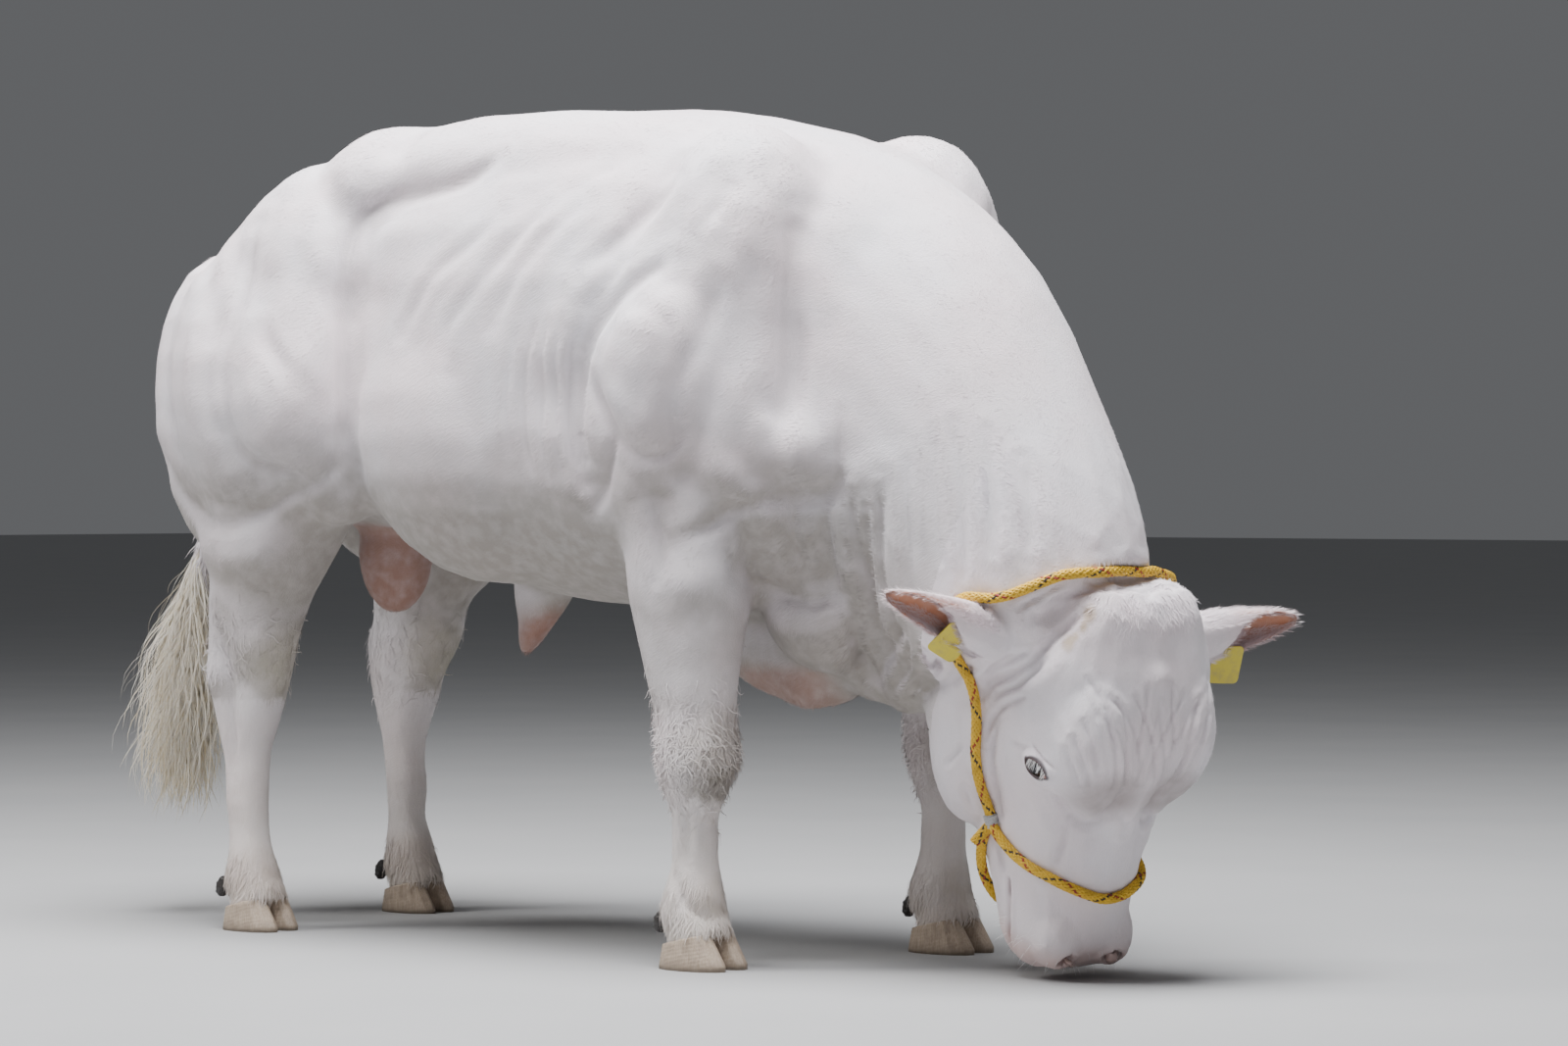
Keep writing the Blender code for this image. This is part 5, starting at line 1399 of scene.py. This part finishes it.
roots = sown(head_hide, ear_density, draw)
at_rim = np.zeros(len(roots["place"]), dtype=bool)
for side_name in SIDES:
    share, aside, offset, way, opening, upward = along_ear(roots["place"], side_name)
    across = roots["normal"] @ upward
    facing = roots["normal"] @ opening
    rim = (np.abs(across) > 0.55) & (facing > -0.25) & (share > 0.30) & (share < 1.05)
    here = rim & (offset @ way > 0)
    outwards = roots["normal"] * 0.55 + opening * 0.15 + way * 0.9
    outwards -= roots["normal"] * np.sum(outwards * roots["normal"], axis=1)[:, None] * 0.6
    outwards /= np.linalg.norm(outwards, axis=1)[:, None]
    roots["lie"] = np.where(here[:, None], outwards, roots["lie"])
    at_rim |= here
rim_roots = part_of(roots, at_rim)
rim_roots["marking_and_shade"][:, 3] *= 0.3
tufts("ear_fringe", rim_roots, draw, 3, 0.014, 0.0011, lift=0.25, sway=0.06, stray=0.30)

# Lashes and whiskers: coarse single hairs, pale, on the lids and on the lips
lash_look, tree, shader = new_look("lash_hair", 0.45)
tree.links.new(
    between(tree, grain(tree, 300.0), (0.82, 0.80, 0.80), (0.92, 0.91, 0.90)),
    shader.inputs["Base Color"],
)
LASHES = 30
for side_name, side in SIDES.items():
    centre, outward, along, above = eye_axes(side)
    lash_roots = []
    for k in range(LASHES):
        u = SLIT_HALF * (0.80 - 1.60 * (k // 3 + 0.16 * (k % 3)) / 9.4)
        arch = max(0.0, 1.0 - (u / SLIT_HALF) ** 2) ** 0.75
        v = SLIT_ABOVE * arch + 0.0012
        high = math.sqrt(max(0.0, LID_RADIUS ** 2 - (u * 0.62) ** 2 - v * v))
        lash_roots.append(centre + along * u + above * v + outward * high)
    count = len(lash_roots)
    hang = outward * 0.62 - Vector((0.0, 0.0, 0.70)) - above * 0.35
    hang = np.tile(np.array(hang.normalized()), (count, 1)) + draw.normal(0.0, 0.12, (count, 3))
    hang /= np.linalg.norm(hang, axis=1)[:, None]
    level = np.tile(np.array(outward), (count, 1))
    level -= hang * np.sum(level * hang, axis=1)[:, None]
    level /= np.linalg.norm(level, axis=1)[:, None]
    lashes = {
        "place": np.array(lash_roots),
        "normal": level,
        "lie": hang,
        "unwrap": np.tile(np.array((0.5, 0.5)), (count, 1)),
        "marking_and_shade": np.zeros((count, 4)),
        "hollow": np.zeros(count),
    }
    tufts(
        f"lashes_{side_name}", lashes, draw, 5, 0.018, 0.0008,
        lift=0.05, droop=3.0, sway=0.03, stray=0.10, look=lash_look,
    )


def whisker_density(places, normals):
    below, out, front = of_head(places)
    return step(below, 0.50, 0.58) * 1400.0


roots = sown(head_hide, whisker_density, draw)
roots["lie"] = roots["lie"] * 0.4 + roots["normal"]
roots["lie"] /= np.linalg.norm(roots["lie"], axis=1)[:, None]
roots["normal"] = np.cross(roots["lie"], np.cross(roots["normal"], roots["lie"]) + 1e-4)
roots["normal"] /= np.linalg.norm(roots["normal"], axis=1)[:, None]
tufts("whiskers", roots, draw, 4, 0.020, 0.0006, lift=0.2, droop=0.8, sway=0.03, stray=0.3, look=lash_look)

# Switch
# The long hair at the tail's end, creamy inside and white and frizzy outside, in flat locks that bend
# and overlap. Their roots are sunk in the tail's end, and it hangs to just under the hock.
SWITCH_TOP = Vector((-1.410 + 0.349, -0.064, 0.690))
SWITCH_BOTTOM = Vector((-1.445 + 0.349, -0.085, 0.235))
hair_look, tree, shader = new_look("switch_hair", 0.6)
strands = grain(tree, 1.0, 4.0, None, (0.0016, 0.0016, 0.040))
tone = tree.nodes.new("ShaderNodeAttribute")
tone.attribute_name = "hollow"
pale = between(tree, tone.outputs["Fac"], (0.82, 0.77, 0.68), (0.70, 0.57, 0.32))
tree.links.new(
    between(tree, fit(tree, strands, 0.35, 0.7), pale, (0.86, 0.83, 0.76)),
    shader.inputs["Base Color"],
)
emboss(tree, shader, ((strands, 0.0008, 0.6),))
axis = np.array(SWITCH_BOTTOM - SWITCH_TOP)
for label, count, wide, reach, creamy, sways, shortest in (
    ("switch_core", 360, 0.0070, 0.018, 0.85, 0.07, 0.55),
    ("switch_locks", 760, 0.0042, 0.033, 0.55, 0.12, 0.30),
    ("switch_frizz", 1300, 0.0014, 0.040, 0.10, 0.17, 0.25),
):
    start = draw.uniform(0.0, 0.55, count)
    angle = draw.uniform(0.0, 2.0 * np.pi, count)
    outwards = np.c_[np.cos(angle), np.sin(angle), np.zeros(count)]
    span = np.minimum(1.0 - start, draw.uniform(shortest, 0.75, count))
    end = start + span
    width_here = reach * (0.35 + np.sin(np.pi * np.minimum(1.0, end * 0.80)))
    root = np.array(SWITCH_TOP) + axis * start[:, None] + outwards * 0.008
    tip = np.array(SWITCH_TOP) + axis * end[:, None] + outwards * width_here[:, None]
    tip += np.array((-0.012, -0.006, 0.0)) * np.sin(np.pi * end)[:, None]
    way = tip - root
    length = np.linalg.norm(way, axis=1)
    way /= length[:, None]
    face = outwards - way * np.sum(outwards * way, axis=1)[:, None]
    face /= np.linalg.norm(face, axis=1)[:, None]
    locks = {
        "place": root,
        "normal": face,
        "lie": way,
        "unwrap": np.c_[angle / (2.0 * np.pi) * 0.9 + 0.05, start * 1.6 + 0.05],
        "marking_and_shade": np.zeros((count, 4)),
        "hollow": np.clip(draw.normal(creamy, 0.15, count), 0.0, 1.0),
    }
    piece = tufts(
        label, locks, draw, 10, length, wide,
        lift=0.10, droop=1.0, sway=sways, stray=0.10, look=hair_look, slot="switch_hair",
    )
    if label == "switch_core":
        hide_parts("tail_switch")

# Claws
# Two claws of pale horn on each foot, grown in rings, scuffed and grey-brown at the ground. The horn
# starts under the coronet's hair, and a pair of small black dewclaws sits behind each pastern.
HORN_GRAIN = 0.0026
DEWCLAW_GRAIN = 0.0017
RING_HEIGHT = 0.00045
DEWCLAW_RINGS = 5.0
RING_PITCH = 0.0065
claw_look, tree, shader = new_look("claw_horn", 0.55)
where = tree.nodes.new("ShaderNodeTexCoord")
split = tree.nodes.new("ShaderNodeSeparateXYZ")
tree.links.new(where.outputs["Object"], split.inputs["Vector"])
worn = fit(tree, split.outputs["Z"], 0.022, 0.0, 0.0, 0.75)
fibres = grain(tree, 1.0, 4.0, None, (0.0022, 0.0022, 0.030))
horn = between(tree, fit(tree, fibres, 0.3, 0.7), (0.40, 0.31, 0.23), (0.56, 0.46, 0.36))
mottle = fit(tree, grain(tree, 55.0, 4.0), 0.45, 0.75, 0.0, 0.6)
horn = between(tree, mottle, horn, (0.30, 0.23, 0.18))
tree.links.new(between(tree, worn, horn, (0.17, 0.135, 0.10)), shader.inputs["Base Color"])
emboss(tree, shader, ((fibres, 0.0005, 0.5), (grain(tree, 150.0, 4.0), 0.0010, 0.3)))


def horn_of(name, voxel, rounds):
    """A horn's solid drawn over at a grain and eased: its mesh, places and normals."""
    mesh = drawn_over(name, shells_of([name]), voxel)
    places = eased(points_of(mesh), neighbours(mesh), rounds)
    set_points(mesh, places)
    return mesh, places, normals_of(mesh)


made = bmesh.new()
claw_names = sorted(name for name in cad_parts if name.startswith("claw"))
for name in claw_names:
    label, side_name = name.split("_")[1:3]
    foot = (FORE_FEET if label == "fore" else HIND_FEET)[side_name]
    mesh, places, normals = horn_of(name, HORN_GRAIN, 10)
    drop = -coronet_gap(places, foot)
    wall = step(-normals[:, 2], -0.5, -0.2) * step(places[:, 2], 0.006, 0.014)
    rings = RING_HEIGHT * np.sin(drop * 2.0 * np.pi / RING_PITCH + 1.2 * np.sin(places[:, 0] * 60.0))
    places = places + normals * (rings * wall)[:, None]
    places[:, 2] = np.where(places[:, 2] < 0.004, 0.0, places[:, 2])
    set_points(mesh, places)
    made.from_mesh(mesh)
    bpy.data.meshes.remove(mesh)
piece_of("claws", mesh_of("claws", made), claw_look, "pale_horn", *claw_names)

dewclaw_look, tree, shader = new_look("black_horn", 0.38)
streaks = grain(tree, 1.0, 4.0, None, (0.0016, 0.0016, 0.018))
tree.links.new(
    between(tree, fit(tree, streaks, 0.35, 0.75), (0.012, 0.011, 0.012), (0.060, 0.052, 0.046)),
    shader.inputs["Base Color"],
)
emboss(tree, shader, ((streaks, 0.0005, 0.6),))
made = bmesh.new()
dewclaw_names = sorted(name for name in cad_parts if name.startswith("dewclaw"))
for name in dewclaw_names:
    mesh, places, normals = horn_of(name, DEWCLAW_GRAIN, 14)
    low, high = (np.array(corner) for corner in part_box(name))
    height = (places[:, 2] - low[2]) / (high[2] - low[2])
    rings = 0.0004 * np.sin(height * 2.0 * np.pi * DEWCLAW_RINGS)
    set_points(mesh, places + normals * rings[:, None])
    made.from_mesh(mesh)
    bpy.data.meshes.remove(mesh)
piece_of("dewclaws", mesh_of("dewclaws", made), dewclaw_look, "dark_horn", *dewclaw_names)

# Ear tags
# A blank plate of tough yellow plastic in each ear, with rounded corners, a thicker neck round its
# hole, and a button on a stud that is pushed through the ear's cup from behind.
TAG_SIZE = (0.056, 0.066, 0.0024)
TAG_CORNER = 0.0085
TAG_BEND = 0.0016
TAG_EDGE = 0.0005
TAG_PLACE = {"right": (0.49, -0.031, 0.016), "left": (0.465, -0.050, 0.020)}
TAG_LEAN = {"right": math.radians(11.0), "left": math.radians(-12.0)}
tag_look, tree, shader = new_look("yellow_plastic", 0.42)
soiled = fit(tree, grain(tree, 70.0, 5.0), 0.48, 0.72, 0.0, 0.55)
yellow = between(tree, grain(tree, 24.0), (0.62, 0.50, 0.035), (0.72, 0.61, 0.06))
tree.links.new(between(tree, soiled, yellow, (0.42, 0.34, 0.12)), shader.inputs["Base Color"])
scratches = grain(tree, 1.0, 4.0, (0.3, 0.5, 0.2), (0.0008, 0.0080, 0.0080))
emboss(tree, shader, ((scratches, 0.0003, 0.35), (grain(tree, 400.0), 0.0002, 0.3)))


def bevelled(made, edges, offset, segments):
    """Edges rounded off by an offset."""
    bmesh.ops.bevel(
        made, geom=edges, offset=offset, offset_type="OFFSET", segments=segments, profile=0.5,
        affect="EDGES", material=-1,
    )


def rounded_disc(made, radius, depth, place, edge):
    """A round button or stud along Z, with its edges eased."""
    new = bmesh.ops.create_cone(
        made, cap_ends=True, cap_tris=False, segments=28, radius1=radius, radius2=radius, depth=depth
    )["verts"]
    rims = {e for v in new for e in v.link_edges if abs(e.verts[0].co.z - e.verts[1].co.z) < depth * 0.5}
    bmesh.ops.translate(made, verts=new, vec=place)
    bevelled(made, list(rims), edge, 3)


for side_name in SIDES:
    root, tip, opening, upward = ear_axes(side_name)
    way = (tip - root).normalized()
    t, rise, reach = TAG_PLACE[side_name]
    lean = TAG_LEAN[side_name]
    width_way = way * math.cos(lean) + upward * math.sin(lean)
    height_way = upward * math.cos(lean) - way * math.sin(lean)
    facing = width_way.cross(height_way)
    if facing.dot(opening) < 0.0:
        facing.negate()
        width_way.negate()
    centre = root.lerp(tip, t) + upward * rise + facing * reach
    made = bmesh.new()
    bmesh.ops.create_cube(made, size=1.0)
    bmesh.ops.scale(made, verts=made.verts, vec=TAG_SIZE)
    corners = [e for e in made.edges if abs(e.verts[0].co.z - e.verts[1].co.z) > 0.001]
    bevelled(made, corners, TAG_CORNER, 7)
    for cut in range(1, 6):
        bmesh.ops.bisect_plane(
            made, geom=list(made.verts) + list(made.edges) + list(made.faces), dist=0.00001,
            plane_co=(TAG_SIZE[0] * (cut / 6.0 - 0.5), 0.0, 0.0), plane_no=(1.0, 0.0, 0.0),
        )
    flat = [e for e in made.edges if e.calc_face_angle(0.0) > 0.9]
    bevelled(made, flat, TAG_EDGE, 2)
    for vert in made.verts:
        vert.co.z -= TAG_BEND * (2.0 * vert.co.x / TAG_SIZE[0]) ** 2
    neck_y = TAG_SIZE[1] * 0.40
    rounded_disc(made, 0.0100, 0.0030, (0.0, neck_y - 0.004, 0.0016), 0.0008)
    rounded_disc(made, 0.0056, 0.0026, (0.0, neck_y - 0.004, 0.0040), 0.0008)
    rounded_disc(made, 0.0042, 0.0420, (0.0, neck_y - 0.002, -0.0200), 0.0010)
    lay = Matrix((width_way, height_way, facing)).transposed().to_4x4()
    bmesh.ops.transform(made, matrix=Matrix.Translation(centre) @ lay, verts=made.verts)
    bmesh.ops.recalc_face_normals(made, faces=made.faces)
    tag = mesh_of("tag", made, False)
    piece_of(f"blank_ear_tag_{side_name}", tag, tag_look, "ear_tag", f"ear_tag_{side_name}")

# Halter
# A rope halter of yellow braid with a red and a black marker yarn: a headstall from cheek to cheek
# behind the ears, a noseband and a chin rope, joined at each cheek by a whipping of grey twine.
ROPE_RADIUS = 0.0086
ROPE_PASSES = 10
BRAID_PITCH = 0.088
YARNS_EACH_WAY = 8
YARN_SHARE = 0.25
CORE_SHARE = 0.70
TRACERS = {0: 1, 8: 2}
TWINE_RADIUS = 0.0014
TWINE_CORE = 0.0112
TWINE_TURNS = 9
TWINE_STEPS = 16
JUNCTION = (0.405, 0.118, -0.172)
CHEEK_ROUTE = ((0.335, 0.145, -0.188), (0.275, 0.165, -0.186), (0.221, 0.180, -0.182), (0.150, 0.205, -0.176))
# Over the poll the strap has slipped back on the left
POLL_ROUTE = {
    -1.0: (
        (0.100, 0.200, -0.225),
        (0.045, 0.195, -0.205),
        (-0.020, 0.170, -0.100),
        (-0.053, 0.123, -0.070),
        (-0.065, 0.058, -0.062),
    ),
    1.0: (
        (0.100, 0.200, -0.225),
        (0.045, 0.195, -0.210),
        (-0.010, 0.160, -0.150),
        (-0.026, 0.115, -0.118),
        (-0.040, 0.060, -0.092),
    ),
}
NOSE_ROUTE = ((0.441, 0.094, -0.111), (0.452, 0.084, -0.033), (0.474, 0.040, 0.002), (0.492, 0.000, 0.004))
CHIN_ROUTE = ((0.480, 0.100, -0.225), (0.540, 0.072, -0.220), (0.575, 0.035, -0.205), (0.580, 0.000, -0.200))
ROPE_END = (0.040, 0.020, -0.014)


def yarn_look(name, low, high):
    """Glossy split-film yarn, with fine fibres along it."""
    look, tree, shader = new_look(name, 0.5)
    fibres = grain(tree, 420.0, 4.0)
    worn = fit(tree, grain(tree, 60.0, 4.0), 0.40, 0.75, 0.0, 0.5)
    yarn = between(tree, fibres, low, high)
    tree.links.new(between(tree, worn, yarn, tuple(0.55 * c for c in low)), shader.inputs["Base Color"])
    emboss(tree, shader, ((fibres, 0.0005, 0.5),))
    return look


yarns = {
    "yellow": yarn_look("yellow_yarn", (0.66, 0.36, 0.012), (0.86, 0.58, 0.04)),
    "red": yarn_look("red_yarn", (0.26, 0.02, 0.012), (0.42, 0.05, 0.02)),
    "black": yarn_look("black_yarn", (0.02, 0.014, 0.010), (0.06, 0.04, 0.03)),
    "grey": yarn_look("grey_twine", (0.40, 0.40, 0.40), (0.66, 0.66, 0.66)),
}


def even_route(points, step_length):
    """Points at even steps along a smooth curve through a route."""
    smooth = np.array(rounded([np.array(p) for p in points], 3))
    lengths = np.r_[0.0, np.cumsum(np.linalg.norm(np.diff(smooth, axis=0), axis=1))]
    marks = np.linspace(0.0, lengths[-1], max(4, round(lengths[-1] / step_length)))
    return np.c_[tuple(np.interp(marks, lengths, smooth[:, axis]) for axis in range(3))]


halter_ground = BVHTree.FromPolygons(
    [v.co for hide in hides.values() for v in hide.data.vertices],
    [
        [i + base for i in f.vertices]
        for hide, base in zip(hides.values(), (0, len(body_hide.data.vertices)))
        for f in hide.data.polygons
    ],
)


def laid_on_hide(route):
    """A rope's line drawn tight over the hide, a little sunk into the hair."""
    lift = ROPE_RADIUS - 0.0012
    line = even_route(route, 0.012)
    for _ in range(ROPE_PASSES):
        line[1:-1] = (line[:-2] + line[1:-1] * 2.0 + line[2:]) / 4.0
        for k in range(len(line)):
            near, normal, _, _ = halter_ground.find_nearest(Vector(line[k]))
            over = (Vector(line[k]) - near).dot(normal)
            if over < lift:
                line[k] = np.array(near + normal * lift)
    return line


def braid(name, line, slot, *replaced):
    """Sixteen yarns braided over and under each other round a core, along a line."""
    line = even_route(line, 0.0025)
    ahead = np.gradient(line, axis=0)
    ahead /= np.linalg.norm(ahead, axis=1)[:, None]
    length = np.r_[0.0, np.cumsum(np.linalg.norm(np.diff(line, axis=0), axis=1))]
    up = Vector((0.3, 0.2, 0.93))
    sides = []
    for way in ahead:
        up = (up - Vector(way) * up.dot(Vector(way))).normalized()
        sides.append((np.array(up), np.cross(way, np.array(up))))
    made = bmesh.new()
    plans = [(hand, k / YARNS_EACH_WAY) for hand in (1.0, -1.0) for k in range(YARNS_EACH_WAY)]
    for number, (hand, phase) in enumerate(plans):
        turn = hand * 2.0 * np.pi * length / BRAID_PITCH + 2.0 * np.pi * phase
        reach = ROPE_RADIUS * (0.74 + 0.07 * hand * np.cos(YARNS_EACH_WAY * turn))
        places = [
            p + (s[0] * math.cos(a) + s[1] * math.sin(a)) * r for p, s, a, r in zip(line, sides, turn, reach)
        ]
        tube(made, places, ROPE_RADIUS * YARN_SHARE, TRACERS.get(number, 0))
    tube(made, list(line), ROPE_RADIUS * CORE_SHARE)
    mesh = mesh_of(name, made)
    piece = piece_of(name, mesh, yarns["yellow"], slot, *replaced)
    mesh.materials.append(yarns["red"])
    mesh.materials.append(yarns["black"])
    return piece


ends = {}
for side_name, side in SIDES.items():
    near, normal, _, _ = halter_ground.find_nearest(in_head(JUNCTION[0], side * JUNCTION[1], JUNCTION[2]))
    ends[side_name] = near + normal * ROPE_RADIUS
for name, right_half, left_half, node in (
    ("headstall_rope", CHEEK_ROUTE + POLL_ROUTE[-1.0], CHEEK_ROUTE + POLL_ROUTE[1.0], "halter_headstall"),
    ("noseband_rope", NOSE_ROUTE, NOSE_ROUTE[:-1], "halter_noseband"),
    ("chin_rope", CHIN_ROUTE, CHIN_ROUTE[:-1], "halter_chin_rope"),
):
    right = [in_head(b, -a, f) for b, a, f in right_half]
    left = [in_head(b, a, f) for b, a, f in left_half[::-1]]
    line = laid_on_hide([ends["right"]] + right + left + [ends["left"]])
    braid(name, line, "yellow_rope", node)
below, aside, front = ROPE_END
drop = HEAD_FRAME.to_3x3() @ Vector((front, -aside, -below))
stub = [ends["right"] + drop * t for t in (0.0, 0.25, 0.5, 0.75, 1.0)]
braid("rope_cut_end", stub, "yellow_rope", "halter_rope_end")

for side_name, side in SIDES.items():
    cheek = in_head(CHEEK_ROUTE[0][0], side * CHEEK_ROUTE[0][1], CHEEK_ROUTE[0][2])
    way = (cheek - ends[side_name]).normalized()
    made = bmesh.new()
    aside = way.orthogonal().normalized()
    other = way.cross(aside)
    coil = []
    for k in range(TWINE_TURNS * TWINE_STEPS + 1):
        turn = 2.0 * math.pi * k / TWINE_STEPS
        reach = 0.0118 + 0.0006 * math.sin(turn * 0.37)
        spot = ends[side_name] + way * (0.0022 * k / TWINE_STEPS - 0.008)
        coil.append(spot + (aside * math.cos(turn) + other * math.sin(turn)) * reach)
    tube(made, coil, TWINE_RADIUS)
    tube(made, [ends[side_name] + way * t for t in (-0.012, 0.0, 0.014)], TWINE_CORE)
    twine = mesh_of("whipping", made)
    piece_of(f"whipping_{side_name}", twine, yarns["grey"], "halter_clamp", f"halter_clamp_{side_name}")
